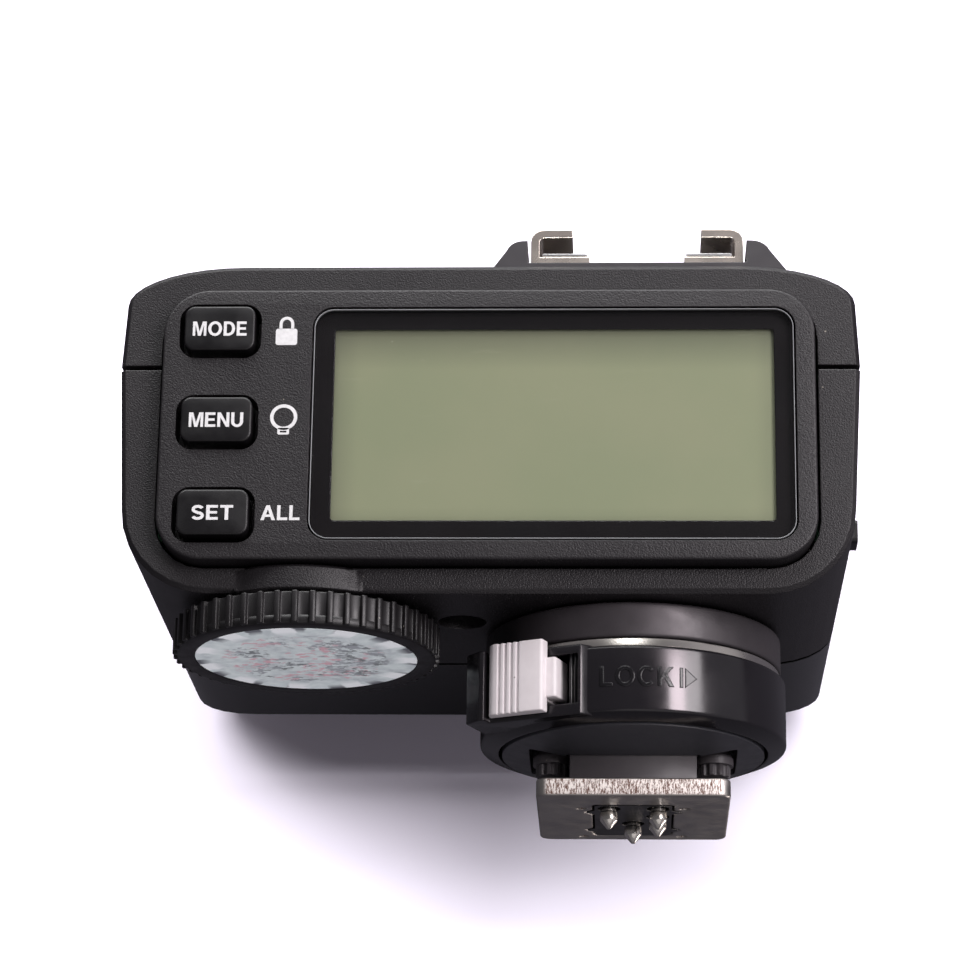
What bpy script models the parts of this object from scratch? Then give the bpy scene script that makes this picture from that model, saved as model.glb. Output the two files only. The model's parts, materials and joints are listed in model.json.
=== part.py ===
"""Wireless flash trigger: a small radio controller with a locking foot below and an accessory shoe on top.

Frame: the origin lies on the foot's vertical axis at the underside of the foot plate.
+Z is up, -Y is the side with the display, +X is the user's right when looking at the display.
Every size below is in millimetres and is turned into metres when a mesh is made.
"""
import math

import bmesh
import bpy
from mathutils import Matrix

MM = 0.001
GAP = 0.3                  # clearance between neighbouring pieces
PAST = 2.0                 # how far a cutter runs past the face it opens
WELD = 1e-6                # metres

# Case
CASE_X = -14.0             # middle of the case, left of the foot's axis
CASE_BOTTOM = 18.0
CASE_TOP = 51.6
CASE_REAR = -16.5
CASE_FRONT = 55.5
SEAM_Z = 40.85             # where the upper and lower halves meet
HALF_WIDTH_SEAM = 36.0
HALF_WIDTH_LOW = 35.3
HALF_WIDTH_TOP = 35.65
WALL = 1.8
LOW_CORNER = 8.5
TOP_CORNER_WIDE = 11.4
TOP_CORNER_HIGH = 4.1
RIM_ROUND = 0.45
FRONT_CORNER = 9.0
NOSE_START_Y = 28.9        # the underside starts to rise to the front here
NOSE_END_Z = 29.0
TOP_SLOPE_Y = 24.0
TOP_SLOPE_END = (52.5, 48.0)
DOOR_START_Y = 8.7         # the door's slanted parting plane leaves the underside here
DOOR_SLOPE = 1.84          # run along Y for each millimetre of height

# Control panel, display and keys
PANEL = (-45.65, 17.55, 20.7, 48.25)
PANEL_CORNER = 4.5
PANEL_FACE = -18.5
PANEL_BACK = -15.3
PANEL_ROUND = 0.5
GLASS = (-30.95, 15.48, 22.75, 46.2)
GLASS_CORNER = 1.9
GLASS_FACE = -18.45
GLASS_THICK = 0.9
POCKET_FLOOR = -17.2
LCD_BACK = -15.5
BACKLIGHT = (-15.0, -14.1)
DISPLAY = (-29.6, 14.1, 23.9, 44.6)
KEY_X = -40.1
KEY_Z = (43.9, 34.5, 25.1)
KEY_SIZE = (6.75, 4.35)
KEY_HOLE = (8.0, 5.6)
KEY_FACE = -19.2
PAD_THICK = 0.9

# Select dial
DIAL_AXIS = (-31.9, -6.6)
DIAL_RADIUS = 13.05
DIAL_BOTTOM = 14.1
DIAL_TOP = 17.3
DIAL_RIBS = 48
DIAL_CHAMFER = 0.15        # the ribs start this far above the underside
RIB_DEPTH = 0.45
SHAFT_RADIUS = 2.0
HOOD_RADIUS = 11.4         # the rear rim bulges out over the dial to this radius
HOOD_FILLET = 2.0
HOOD_TOP = 20.4
LABEL_RADIUS = 10.85

# Foot
COLLAR_RADIUS = 14.6
COLLAR_LOW = 14.25
COLLAR_TOP = 17.7
COLLAR_BORE = 10.2
WASHER_RADIUS = 14.45
WASHER_BORE = 10.2
RING_RADIUS = 15.05
RING_TOP = 13.25
RING_LOW = 6.85
RING_BORE = 10.5
RING_COUNTERBORE = 8.6     # the clamp disc sits below this level
HOUSING_LOW = 6.6
HOUSING_TOP = 13.45
SLOT_LOW = 7.7
SLOT_TOP = 12.6
DISC_RADIUS = 12.9
NECK_HALF_WIDTH = 6.15
NECK_HALF_DEPTH = 6.5
NECK_TOP = 17.6
POST_X = 7.9               # a ribbed guide post stands on each side of the neck
POST_Y = -1.6
POST_RADIUS = 1.6
POST_BOTTOM = 3.6
POST_TOP = 4.9
POST_CAP_RADIUS = 1.9
POST_RIBS = 10
PLATE = (-9.3, 9.3, -9.25, 9.8)
PLATE_THICK = 1.8
HOUSING_TURN = -23.5       # degrees about Z from straight back to the thumb housing
PIN_PLACES = {
    "contact_pin_left": (-2.35, -3.7),
    "contact_pin_right": (2.4, -3.7),
    "contact_pin_side": (2.4, -0.4),
    "contact_pin_centre": (0.0, 2.6),
}
PIN_REACH = 2.0            # how far a relaxed pin stands out of the foot
PIN_HOLE = 1.15

# Accessory shoe
SHOE_X = 0.4
SHOE_REAR = -13.5
SHOE_FRONT = 6.0
SHOE_HALF_OUTER = 10.55
SHOE_SHEET = 0.85
SHOE_LIP_HALF_GAP = 6.4
SHOE_LIP_TOP = 57.0
SHOE_BASE_LOW = 53.2
SHOE_BASE_TOP = 54.05
SHOE_FIN_TOP = 55.45

# Keys and switches on the other faces
GROUP_KEY_X = -36.0
GROUP_KEY_Y = (-8.0, -1.0, 6.0, 13.0, 20.0)
TEST_KEY = (-20.0, 18.0)
STATUS_LIGHT = (-20.0, 10.0)
SWITCH_Z = {"power_switch": 34.6, "assist_switch": 28.8}
SWITCH_TRAVEL = 3.0
SCREW_PLACE = (-16.7, -6.4)
DATA_SOCKET = (-0.3, 8.7, 28.3, 31.5)      # low and high y, low and high z
SOCKET_FACE = -49.3
SYNC_JACK = (-7.0, 29.9)                   # y and z of its axis
SYNC_RADIUS = 2.9
LAMP_WINDOW = (-9.0, 9.0, 42.2, 45.6)      # x from the middle of the case, then z

# Cells
CELL_RADIUS = 7.25
CELL_LENGTH = 49.2
NUB_LENGTH = 1.3
CELL_PLACES = {"battery_rear": (20.5, 28.2), "battery_front": (36.4, 32.6)}   # (y, z) of the cell's axis
CONTACT_LEFT_X = -42.4
CONTACT_RIGHT_X = 14.4

BLACK = (0.022, 0.021, 0.024)
SOFT_BLACK = (0.03, 0.029, 0.032)
GLOSS_BLACK = (0.012, 0.012, 0.014)
GREY = (0.62, 0.6, 0.58)
NICKEL = (0.72, 0.69, 0.64)
STEEL = (0.6, 0.6, 0.6)
BOARD_GREEN = (0.03, 0.16, 0.07)


# ---------------------------------------------------------------- helpers

def clear_scene():
    for item in list(bpy.data.objects):
        bpy.data.objects.remove(item, do_unlink=True)


def new_collection(name):
    collection = bpy.data.collections.new(name)
    bpy.context.scene.collection.children.link(collection)
    return collection


def paint(item, colour, roughness, metallic=0.0, alpha=1.0):
    material = bpy.data.materials.new(item.name)
    material.use_nodes = True
    shader = material.node_tree.nodes["Principled BSDF"]
    shader.inputs["Base Color"].default_value = (*colour, 1.0)
    shader.inputs["Roughness"].default_value = roughness
    shader.inputs["Metallic"].default_value = metallic
    shader.inputs["Alpha"].default_value = alpha
    item.data.materials.clear()
    item.data.materials.append(material)


def place_object(name, mesh, at, is_cutter):
    item = bpy.data.objects.new(name, mesh)
    item.location = [value * MM for value in at]
    if is_cutter:
        item.hide_render = True
        item.display_type = "WIRE"
        CUTTERS.objects.link(item)
    else:
        MODEL.objects.link(item)
    return item


PLANE_TURNS = {
    "XY": Matrix.Identity(4),
    "XZ": Matrix(((1, 0, 0, 0), (0, 0, -1, 0), (0, 1, 0, 0), (0, 0, 0, 1))),
    "YZ": Matrix(((0, 0, 1, 0), (1, 0, 0, 0), (0, 1, 0, 0), (0, 0, 0, 1))),
}
PLANE_NORMALS = {"XY": (0, 0, 1), "XZ": (0, 1, 0), "YZ": (1, 0, 0)}


def prism(name, outline, low, high, plane="XY", at=(0, 0, 0), holes=(), edge=0.0, cutter=False):
    """A flat outline, with optional holes, drawn out from low to high along the plane's normal."""
    curve = bpy.data.curves.new(name, "CURVE")
    curve.dimensions = "2D"
    curve.fill_mode = "BOTH"
    curve.extrude = ((high - low) / 2 - edge) * MM
    curve.bevel_depth = edge * MM
    curve.bevel_resolution = 0
    curve.offset = -edge * MM
    for points in (outline, *holes):
        spline = curve.splines.new("POLY")
        spline.points.add(len(points) - 1)
        for point, (a, b) in zip(spline.points, points):
            point.co = (a * MM, b * MM, 0, 1)
        spline.use_cyclic_u = True
    flat = bpy.data.objects.new(name + "_curve", curve)
    MODEL.objects.link(flat)
    mesh = mesh_of(flat)
    middle = [value * (low + high) / 2 * MM for value in PLANE_NORMALS[plane]]
    mesh.transform(Matrix.Translation(middle) @ PLANE_TURNS[plane])
    bpy.data.objects.remove(flat, do_unlink=True)
    return place_object(name, mesh, at, cutter)


def mesh_of(item):
    """The evaluated mesh of an object, welded into one closed surface that faces outwards."""
    depsgraph = bpy.context.evaluated_depsgraph_get()
    mesh = bpy.data.meshes.new_from_object(item.evaluated_get(depsgraph))
    mesh.name = item.name
    cage = bmesh.new()
    cage.from_mesh(mesh)
    bmesh.ops.remove_doubles(cage, verts=cage.verts, dist=WELD)
    bmesh.ops.recalc_face_normals(cage, faces=cage.faces)
    cage.to_mesh(mesh)
    cage.free()
    return mesh


def turned(name, profile, at=(0, 0, 0), steps=64, ring=False, cutter=False):
    """A profile of (radius, height) points turned about Z; it runs down its outer side."""
    mesh = bpy.data.meshes.new(name)
    edges = [(i, i + 1) for i in range(len(profile) - 1)]
    if ring:
        edges.append((len(profile) - 1, 0))
    mesh.from_pydata([(r * MM, 0, z * MM) for r, z in profile], edges, [])
    item = place_object(name, mesh, at, cutter)
    turn = item.modifiers.new("turn", "SCREW")
    turn.steps = steps
    turn.render_steps = steps
    turn.use_merge_vertices = True
    turn.merge_threshold = 1e-5
    turn.use_smooth_shade = True
    settle(item)
    return item


def tube_profile(outer, inner, low, high):
    return [(outer, high), (outer, low), (inner, low), (inner, high)]


def rod_profile(radius, low, high):
    return [(0, high), (radius, high), (radius, low), (0, low)]


def box(name, low, high, edge=0.0, cutter=False):
    """A box between two corners, with its scale applied."""
    bpy.ops.mesh.primitive_cube_add(size=1)
    raw = bpy.context.object
    mesh = raw.data
    mesh.name = name
    bpy.data.objects.remove(raw, do_unlink=True)
    size = [(b - a) * MM for a, b in zip(low, high)]
    mesh.transform(Matrix.Diagonal((*size, 1)))
    item = place_object(name, mesh, [(a + b) / 2 for a, b in zip(low, high)], cutter)
    if edge > 0:
        rounding = item.modifiers.new("edges", "BEVEL")
        rounding.width = edge * MM
        rounding.segments = 2
    return item


def settle(item):
    """Apply every modifier of an object."""
    mesh = mesh_of(item)
    item.modifiers.clear()
    item.data = mesh


def combine(target, tool, operation="DIFFERENCE"):
    step = target.modifiers.new(tool.name, "BOOLEAN")
    step.operation = operation
    step.solver = "EXACT"
    step.object = tool


def shade(item, degrees=30):
    item.data.shade_smooth()
    item.data.set_sharp_from_angle(angle=math.radians(degrees))


def arc(centre, radii, start, end, steps):
    """Points along an elliptical arc, with angles in degrees."""
    points = []
    for i in range(steps + 1):
        angle = math.radians(start + (end - start) * i / steps)
        points.append((centre[0] + radii[0] * math.cos(angle), centre[1] + radii[1] * math.sin(angle)))
    return points


def circle(centre, radius, steps=32):
    return arc(centre, (radius, radius), 0, 360 - 360 / steps, steps - 1)


def rounded(x0, x1, y0, y1, radius, steps=5):
    points = []
    for x, y, start in ((x1 - radius, y0 + radius, -90), (x1 - radius, y1 - radius, 0),
                        (x0 + radius, y1 - radius, 90), (x0 + radius, y0 + radius, 180)):
        points += arc((x, y), (radius, radius), start, start + 90, steps)
    return points


def grown(bounds, by):
    return (bounds[0] - by, bounds[1] + by, bounds[2] - by, bounds[3] + by)


def turned_place(x, y, degrees):
    """A point in the housing's own frame, turned about Z into the shared frame."""
    angle = math.radians(degrees)
    return (x * math.cos(angle) - y * math.sin(angle), x * math.sin(angle) + y * math.cos(angle))


# ---------------------------------------------------------------- case

def rim_outline(inset=0.0):
    """The case seen from behind: straight drafted sides, round lower and flat elliptical upper corners."""
    low_side = HALF_WIDTH_LOW - inset
    top_side = HALF_WIDTH_TOP - inset
    low_radius = LOW_CORNER - inset
    wide = TOP_CORNER_WIDE - inset
    high = TOP_CORNER_HIGH - inset
    right = arc((low_side - low_radius, CASE_BOTTOM + LOW_CORNER), (low_radius, low_radius), -90, 0, 7)
    right.append((HALF_WIDTH_SEAM - inset, SEAM_Z))
    right += arc((top_side - wide, CASE_TOP - TOP_CORNER_HIGH), (wide, high), 0, 90, 9)
    left = [(-x, z) for x, z in reversed(right)]
    return [(CASE_X + x, z) for x, z in right + left]


def side_outline(inset=0.0):
    """The case seen from its side: flat underside, rising nose, upright front and sloping top."""
    front = CASE_FRONT - inset
    slope_y, slope_z = TOP_SLOPE_END
    points = [(CASE_REAR - PAST, CASE_BOTTOM + inset), (NOSE_START_Y, CASE_BOTTOM + inset)]
    points += arc((front - 3, NOSE_END_Z + 2 + inset), (3, 3), -65, 0, 4)
    points += arc((front - 3, slope_z - 3 - inset), (3, 3), 0, 80, 4)
    points += [(TOP_SLOPE_Y, CASE_TOP - inset), (CASE_REAR - PAST, CASE_TOP - inset)]
    return points


def plan_outline(inset=0.0):
    """The case seen from above: sides drawn in a little to the front, with round front corners."""
    radius = FRONT_CORNER - inset
    front = CASE_FRONT - inset
    side = HALF_WIDTH_LOW - 0.3 - inset
    right = [(HALF_WIDTH_SEAM + 0.3 - inset, CASE_REAR - PAST), (HALF_WIDTH_SEAM - inset, 12.0)]
    right += arc((side - radius, front - radius), (radius, radius), 0, 90, 7)
    left = [(-x, y) for x, y in reversed(right)]
    return [(CASE_X + x, y) for x, y in right + left]


def case_block(name, inset, edge):
    block = prism(name, rim_outline(inset), CASE_REAR + inset, CASE_FRONT + PAST, "XZ",
                  edge=edge, cutter=True)
    side = prism(name + "_side", side_outline(inset), -70, 40, "YZ", cutter=True)
    plan = prism(name + "_plan", plan_outline(inset), 0, 70, "XY", cutter=True)
    combine(block, side, "INTERSECT")
    combine(block, plan, "INTERSECT")
    settle(block)
    return block


def parting_y(z):
    return DOOR_START_Y + DOOR_SLOPE * (z - CASE_BOTTOM)


def case_regions():
    """The three spaces that the case pieces fill, in the YZ plane, with a gap between them."""
    half = GAP / 2
    low, high, back, front = 5, 70, -40, 70
    shift = half / math.sin(math.atan(1 / DOOR_SLOPE))
    seam_low = SEAM_Z - half
    upper = [(back, SEAM_Z + half), (front, SEAM_Z + half), (front, high), (back, high)]
    part_low, part_high = parting_y(low), parting_y(seam_low)
    lower = [(back, low), (part_low - shift, low), (part_high - shift, seam_low), (back, seam_low)]
    door = [(part_low + shift, low), (front, low), (front, seam_low), (part_high + shift, seam_low)]
    return {"upper_case": upper, "lower_case": lower, "battery_door": door}


def case_piece(name, region, block, hollow):
    piece = place_object(name, block.data.copy(), (0, 0, 0), False)
    combine(piece, prism(name + "_region", region, -70, 40, "YZ", cutter=True), "INTERSECT")
    combine(piece, hollow)
    return piece


def cut_prism(piece, name, outline, low, high, plane="XY"):
    combine(piece, prism(name, outline, low, high, plane, cutter=True))


def hood_outline():
    """The bulge over the dial, running out into the rear face with a hollow fillet on each side."""
    x, y = DIAL_AXIS
    fillet_y = CASE_REAR - HOOD_FILLET
    rise = y - fillet_y
    reach = math.sqrt((HOOD_RADIUS + HOOD_FILLET) ** 2 - rise ** 2)
    lean = math.degrees(math.atan2(reach, rise))
    radii = (HOOD_FILLET, HOOD_FILLET)
    points = arc((x + reach, fillet_y), radii, 90, 90 + lean, 4)[:-1]
    points += arc((x, y), (HOOD_RADIUS, HOOD_RADIUS), -90 + lean, -90 - lean, 12)
    points += arc((x - reach, fillet_y), radii, 90 - lean, 90, 4)[1:]
    inside = CASE_REAR + WALL / 2
    return points + [(x - reach, inside), (x + reach, inside)]


def build_case():
    block = case_block("case_block", 0.0, RIM_ROUND)
    hollow = case_block("case_hollow", WALL, 0.0)
    pieces = {name: case_piece(name, region, block, hollow) for name, region in case_regions().items()}
    upper, lower, door = (pieces[name] for name in ("upper_case", "lower_case", "battery_door"))

    x0, x1, z0, z1 = grown(PANEL, 0.35)
    opening = prism("panel_opening", rounded(x0, x1, z0, z1, PANEL_CORNER + 0.35),
                    CASE_REAR - PAST, CASE_REAR + WALL + PAST, "XZ", cutter=True)
    combine(upper, opening)
    combine(lower, opening)

    hood = prism("dial_hood", hood_outline(), DIAL_TOP + 0.5, HOOD_TOP, edge=0.3, cutter=True)
    combine(lower, hood, "UNION")
    screw_x, screw_y = SCREW_PLACE
    boss_profile = rod_profile(3.75, CASE_BOTTOM + 0.5, 30)
    boss = turned("screw_boss", boss_profile, (screw_x, screw_y, 0), 16, cutter=True)
    combine(lower, boss, "UNION")
    cut_prism(lower, "shaft_hole", circle(DIAL_AXIS, SHAFT_RADIUS + GAP), 10, 22)
    cut_prism(lower, "screw_recess", circle(SCREW_PLACE, 2.4), 10, 24.3)
    cut_prism(lower, "screw_hole", circle(SCREW_PLACE, 1.2, 16), 20, 34)
    for name, z in SWITCH_Z.items():
        slot = rounded(-3, 1.6 + SWITCH_TRAVEL, z - 1.6, z + 1.6, 1.2)
        cut_prism(lower, name + "_slot", slot, 17, 26, "YZ")
    cut_prism(lower, "data_hole", rounded(*grown(DATA_SOCKET, GAP), 1.85), -54, -45, "YZ")
    cut_prism(lower, "sync_hole", circle(SYNC_JACK, SYNC_RADIUS + GAP, 24), -54, -45, "YZ")

    for index, y in enumerate(GROUP_KEY_Y):
        x0, x1 = GROUP_KEY_X - 5.3, GROUP_KEY_X + 5.3
        cut_prism(upper, f"group_hole_{index}", rounded(x0, x1, y - 2.6, y + 2.6, 1.5, 3), 46, 55)
    cut_prism(upper, "test_hole", circle(TEST_KEY, 3.8, 24), 46, 55)
    cut_prism(upper, "light_hole", circle(STATUS_LIGHT, 1.5, 16), 46, 55)
    x0, x1, z0, z1 = grown(LAMP_WINDOW, GAP)
    cut_prism(upper, "lamp_hole", rounded(CASE_X + x0, CASE_X + x1, z0, z1, 1.2, 3), 50, 60, "XZ")

    for piece in (upper, lower):
        settle(piece)
        shade(piece)
        paint(piece, SOFT_BLACK, 0.5)
    settle(door)
    shade(door)
    paint(door, GLOSS_BLACK, 0.15)


# ---------------------------------------------------------------- control panel and display

def build_panel():
    holes = [rounded(*grown(DISPLAY, GAP), 0.8, 2)]
    for z in KEY_Z:
        wide, high = KEY_HOLE
        holes.append(rounded(KEY_X - wide / 2, KEY_X + wide / 2, z - high / 2, z + high / 2, 1.7, 4))
    panel = prism("front_panel", rounded(*PANEL, PANEL_CORNER, 7), PANEL_FACE, PANEL_BACK, "XZ",
                  holes=holes, edge=PANEL_ROUND)
    pocket = rounded(*grown(GLASS, 0.25), GLASS_CORNER + 0.25)
    cut_prism(panel, "glass_pocket", pocket, PANEL_FACE - PAST, POCKET_FLOOR, "XZ")
    settle(panel)
    shade(panel)
    paint(panel, SOFT_BLACK, 0.5)

    glass = prism("lcd_glass", rounded(*GLASS, GLASS_CORNER), GLASS_FACE, GLASS_FACE + GLASS_THICK, "XZ",
                  edge=0.1)
    paint(glass, (0.3, 0.33, 0.26), 0.08, alpha=0.4)
    module = prism("lcd_module", rounded(*DISPLAY, 0.5, 2), POCKET_FLOOR, LCD_BACK, "XZ")
    paint(module, (0.26, 0.28, 0.2), 0.4)
    light = prism("lcd_backlight", rounded(*DISPLAY, 0.5, 2), *BACKLIGHT, "XZ")
    paint(light, (0.85, 0.85, 0.82), 0.4)


def build_keys():
    wide, high = KEY_SIZE
    outline = rounded(-wide / 2, wide / 2, -high / 2, high / 2, 1.3, 4)
    for name, z in zip(("mode_button", "menu_button", "set_button"), KEY_Z):
        key = prism(name, outline, 0.0, 3.3, "XZ", at=(KEY_X, KEY_FACE, z), edge=0.45)
        shade(key, 50)
        paint(key, BLACK, 0.35)
    pad = box("key_pad", (-44.5, PANEL_BACK + GAP, 23), (-35.5, PANEL_BACK + GAP + PAD_THICK, 46))
    paint(pad, (0.5, 0.5, 0.5), 0.7)


def build_boards():
    control = box("control_board", (-46, -13.6, 24), (17.8, -12.6, 46.3))
    main_low = 46.8
    main = box("main_board", (-45, -10, main_low), (16.5, 30, main_low + 1))
    radio = box("radio_module", (-2, -4, main_low - 3.3), (12, 16, main_low - GAP), edge=0.4)
    for board in (control, main):
        paint(board, BOARD_GREEN, 0.5)
    paint(radio, STEEL, 0.3, 1.0)


# ---------------------------------------------------------------- select dial

def dial_outline():
    """Narrow ribs with wider grooves between them."""
    points = []
    rib = 0.16                       # half a rib's share of the pitch
    for i in range(DIAL_RIBS):
        for share, radius in ((-rib, DIAL_RADIUS), (rib, DIAL_RADIUS),
                              (rib + 0.07, DIAL_RADIUS - RIB_DEPTH), (0.93 - rib, DIAL_RADIUS - RIB_DEPTH)):
            angle = math.tau * (i + share) / DIAL_RIBS
            points.append((radius * math.cos(angle), radius * math.sin(angle)))
    return points


def build_dial():
    x, y = DIAL_AXIS
    dial = prism("select_dial", dial_outline(), DIAL_BOTTOM + DIAL_CHAMFER, DIAL_TOP, at=(x, y, 0))
    base = rod_profile(DIAL_RADIUS - RIB_DEPTH - 0.05, DIAL_BOTTOM, DIAL_BOTTOM + 1)
    combine(dial, turned("dial_base", base, (x, y, 0), 48, cutter=True), "UNION")
    recess = rod_profile(LABEL_RADIUS + 0.2, DIAL_BOTTOM - PAST, DIAL_BOTTOM + 0.4)
    combine(dial, turned("label_recess", recess, (x, y, 0), 48, cutter=True))
    shaft = turned("dial_shaft", rod_profile(SHAFT_RADIUS, DIAL_TOP - 1, 24), (x, y, 0), 24, cutter=True)
    combine(dial, shaft, "UNION")
    settle(dial)
    shade(dial, 20)
    paint(dial, BLACK, 0.4)
    label_profile = rod_profile(LABEL_RADIUS, DIAL_BOTTOM + 0.02, DIAL_BOTTOM + 0.22)
    label = turned("dial_label", label_profile, (x, y, 0), 48)
    paint(label, (0.6, 0.6, 0.62), 0.3, 0.7)
    encoder = box("dial_encoder", (x - 5.5, y - 5.5, 20.7), (x + 5.5, y + 5.5, 26.2))
    cut_prism(encoder, "encoder_hole", circle(DIAL_AXIS, SHAFT_RADIUS + GAP, 24), 19, 28)
    settle(encoder)
    paint(encoder, STEEL, 0.4, 0.8)


# ---------------------------------------------------------------- foot

def neck_outline(by=0.0):
    """Straight sides, with the front and back bowed outwards."""
    half = NECK_HALF_WIDTH + by
    bow_radius = 15.0
    spread = math.degrees(math.asin(half / bow_radius))
    depth = NECK_HALF_DEPTH + by
    back = arc((0, bow_radius - depth), (bow_radius, bow_radius), -90 - spread, -90 + spread, 6)
    return back + [(-x, -y) for x, y in back]


def build_collar_and_washer():
    profile = [(COLLAR_RADIUS - 0.3, COLLAR_TOP), (COLLAR_RADIUS, COLLAR_TOP - 0.3),
               (COLLAR_RADIUS, COLLAR_LOW + 0.3), (COLLAR_RADIUS - 0.3, COLLAR_LOW),
               (COLLAR_BORE, COLLAR_LOW), (COLLAR_BORE, COLLAR_TOP)]
    collar = turned("foot_collar", profile, steps=48, ring=True)
    shade(collar, 50)
    paint(collar, SOFT_BLACK, 0.45)
    profile = tube_profile(WASHER_RADIUS, WASHER_BORE, RING_TOP + 0.2, COLLAR_LOW - 0.2)
    washer = turned("friction_washer", profile, steps=48, ring=True)
    shade(washer)
    paint(washer, STEEL, 0.3, 1.0)


def housing_prism(name, outline, low, high, cutter=True):
    """A prism drawn in the thumb housing's own frame, where -Y points straight out of the ring."""
    placed = [turned_place(x, y, HOUSING_TURN) for x, y in outline]
    return prism(name, placed, low, high, cutter=cutter)


def build_lock_ring():
    profile = [(0, RING_TOP), (RING_RADIUS - 0.25, RING_TOP), (RING_RADIUS, RING_TOP - 0.25),
               (RING_RADIUS, RING_LOW), (DISC_RADIUS + GAP, RING_LOW - 0.75), (0, RING_LOW - 0.75)]
    ring = turned("lock_ring", profile, steps=64)
    block = [(2.1, -14.4), (1.3, -15.6), (-8.2, -15.6), (-8.2, -16.9), (-8.75, -16.9), (-10.5, -16.0),
             (-10.5, -9.5), (1.8, -9.5)]
    combine(ring, housing_prism("housing_block", block, HOUSING_LOW, HOUSING_TOP), "UNION")
    wide = DISC_RADIUS + GAP
    step = RING_COUNTERBORE
    bore = [(0, 20), (RING_BORE, 20), (RING_BORE, step), (wide, step), (wide, 0), (0, 0)]
    combine(ring, turned("ring_bore", bore, steps=64, cutter=True))
    slot = [(0.25, -19), (0.25, -12.7), (-8.2, -12.7), (-8.2, -19)]
    combine(ring, housing_prism("housing_slot", slot, SLOT_LOW, SLOT_TOP))
    settle(ring)
    shade(ring)
    paint(ring, GLOSS_BLACK, 0.2)


def button_cap_outline():
    """The button's cap seen from above: rounded left end, four finger grooves, plain right end."""
    face, back = -17.1, -15.9
    points = [(-2.0, back), (-7.9, back)]
    points += arc((-6.9, face + 1.0), (1.0, 1.0), 180, 270, 4)[:-1]
    for i in range(4):
        groove = -6.6 + 0.65 * i
        points += [(groove - 0.14, face), (groove - 0.06, face + 0.2), (groove + 0.06, face + 0.2),
                   (groove + 0.14, face)]
    points += arc((-2.3, face + 0.3), (0.3, 0.3), 270, 360, 2)
    return points


def build_lock_button():
    button = housing_prism("lock_button", button_cap_outline(), 6.95, 13.6, cutter=False)
    stem = [(-2.2, -16.4), (-2.2, -13.1), (-7.0, -13.1), (-7.0, -16.4)]
    tongue = [(-0.9, -16.2), (-0.9, -13.1), (-3.0, -13.1), (-3.0, -16.2)]
    combine(button, housing_prism("button_stem", stem, SLOT_LOW + 0.5, SLOT_TOP - 0.5), "UNION")
    combine(button, housing_prism("button_tongue", tongue, SLOT_LOW + 0.7, SLOT_TOP - 0.3), "UNION")
    settle(button)
    shade(button)
    paint(button, GREY, 0.5)


def build_clamp_disc():
    top, rim_low, low = RING_COUNTERBORE - GAP, 6.05, 4.5
    profile = [(0, top), (DISC_RADIUS, top), (DISC_RADIUS, rim_low), (6.4, low), (0, low)]
    disc = turned("clamp_disc", profile, steps=64)
    combine(disc, prism("neck_opening", neck_outline(GAP), 2, 10, cutter=True))
    for side, name in ((-1, "left"), (1, "right")):
        low, high = sorted((side * 5.5, side * (POST_X + POST_CAP_RADIUS + GAP)))
        cut_prism(disc, f"window_{name}", rounded(low, high, -5.0, 5.2, 0.4, 2), 2, 10)
    settle(disc)
    shade(disc)
    paint(disc, BLACK, 0.3)


def post_outline(x):
    """A ribbed round post."""
    points = []
    low = POST_RADIUS - 0.3
    for i in range(POST_RIBS):
        for share, radius in ((0.0, POST_RADIUS), (0.4, POST_RADIUS), (0.5, low), (0.9, low)):
            angle = math.tau * (i + share) / POST_RIBS
            points.append((x + radius * math.cos(angle), POST_Y + radius * math.sin(angle)))
    return points


def build_neck():
    neck = prism("foot_neck", neck_outline(), PLATE_THICK + GAP, NECK_TOP)
    for name, radius, low, high in (("top_flange", 9.8, 15.0, NECK_TOP - 0.01), ("flange", 10.1, 9.6, 11.4)):
        combine(neck, turned("neck_" + name, rod_profile(radius, low, high), steps=32, cutter=True), "UNION")
    wide, thin = POST_CAP_RADIUS, POST_CAP_RADIUS - 0.7
    cap_low, cap_high = POST_TOP - 0.2, 10.5
    cap = [(0, cap_high), (thin, cap_high), (thin, 6.3), (thin + 0.3, 6.2), (wide, 5.5), (wide, cap_low),
           (0, cap_low)]
    for side, name in ((-1, "left"), (1, "right")):
        x = side * POST_X
        combine(neck, turned(f"post_cap_{name}", cap, (x, POST_Y, 0), 20, cutter=True), "UNION")
        combine(neck, prism(f"post_{name}", post_outline(x), POST_BOTTOM, POST_TOP, cutter=True), "UNION")
    cut_prism(neck, "pin_space", rounded(-4.6, 4.6, -5.2, 5.2, 1.0, 3), 0, 13.5)
    cut_prism(neck, "cable_way", circle((0, 0), 3.0, 24), 10, 20)
    settle(neck)
    shade(neck)
    paint(neck, BLACK, 0.35)


def insert_outline(by=0.0):
    """A long contact field with two pointed ears on each side."""
    half = 3.75 + by
    ear = 4.5 + by
    back, front = -5.1 - by, 7.8 + by
    right = [(half - 0.4, back), (half, back + 0.4)]
    for y in (-2.1, 5.6):
        right += [(half, y - 0.8 - by), (ear, y - 0.15), (ear, y + 0.15), (half, y + 0.8 + by)]
    right += [(half, front - 0.4), (half - 0.4, front)]
    return right + [(-x, y) for x, y in reversed(right)]


def build_foot_plate():
    plate = prism("foot_plate", rounded(*PLATE, 1.2, 4), 0, PLATE_THICK,
                  holes=[insert_outline(0.2)], edge=0.12)
    shade(plate)
    paint(plate, NICKEL, 0.35, 1.0)
    pin_holes = [circle(place, PIN_HOLE, 16) for place in PIN_PLACES.values()]
    insert = prism("contact_insert", insert_outline(), 0, PLATE_THICK - 0.05, holes=pin_holes)
    paint(insert, GLOSS_BLACK, 0.2)


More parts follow.
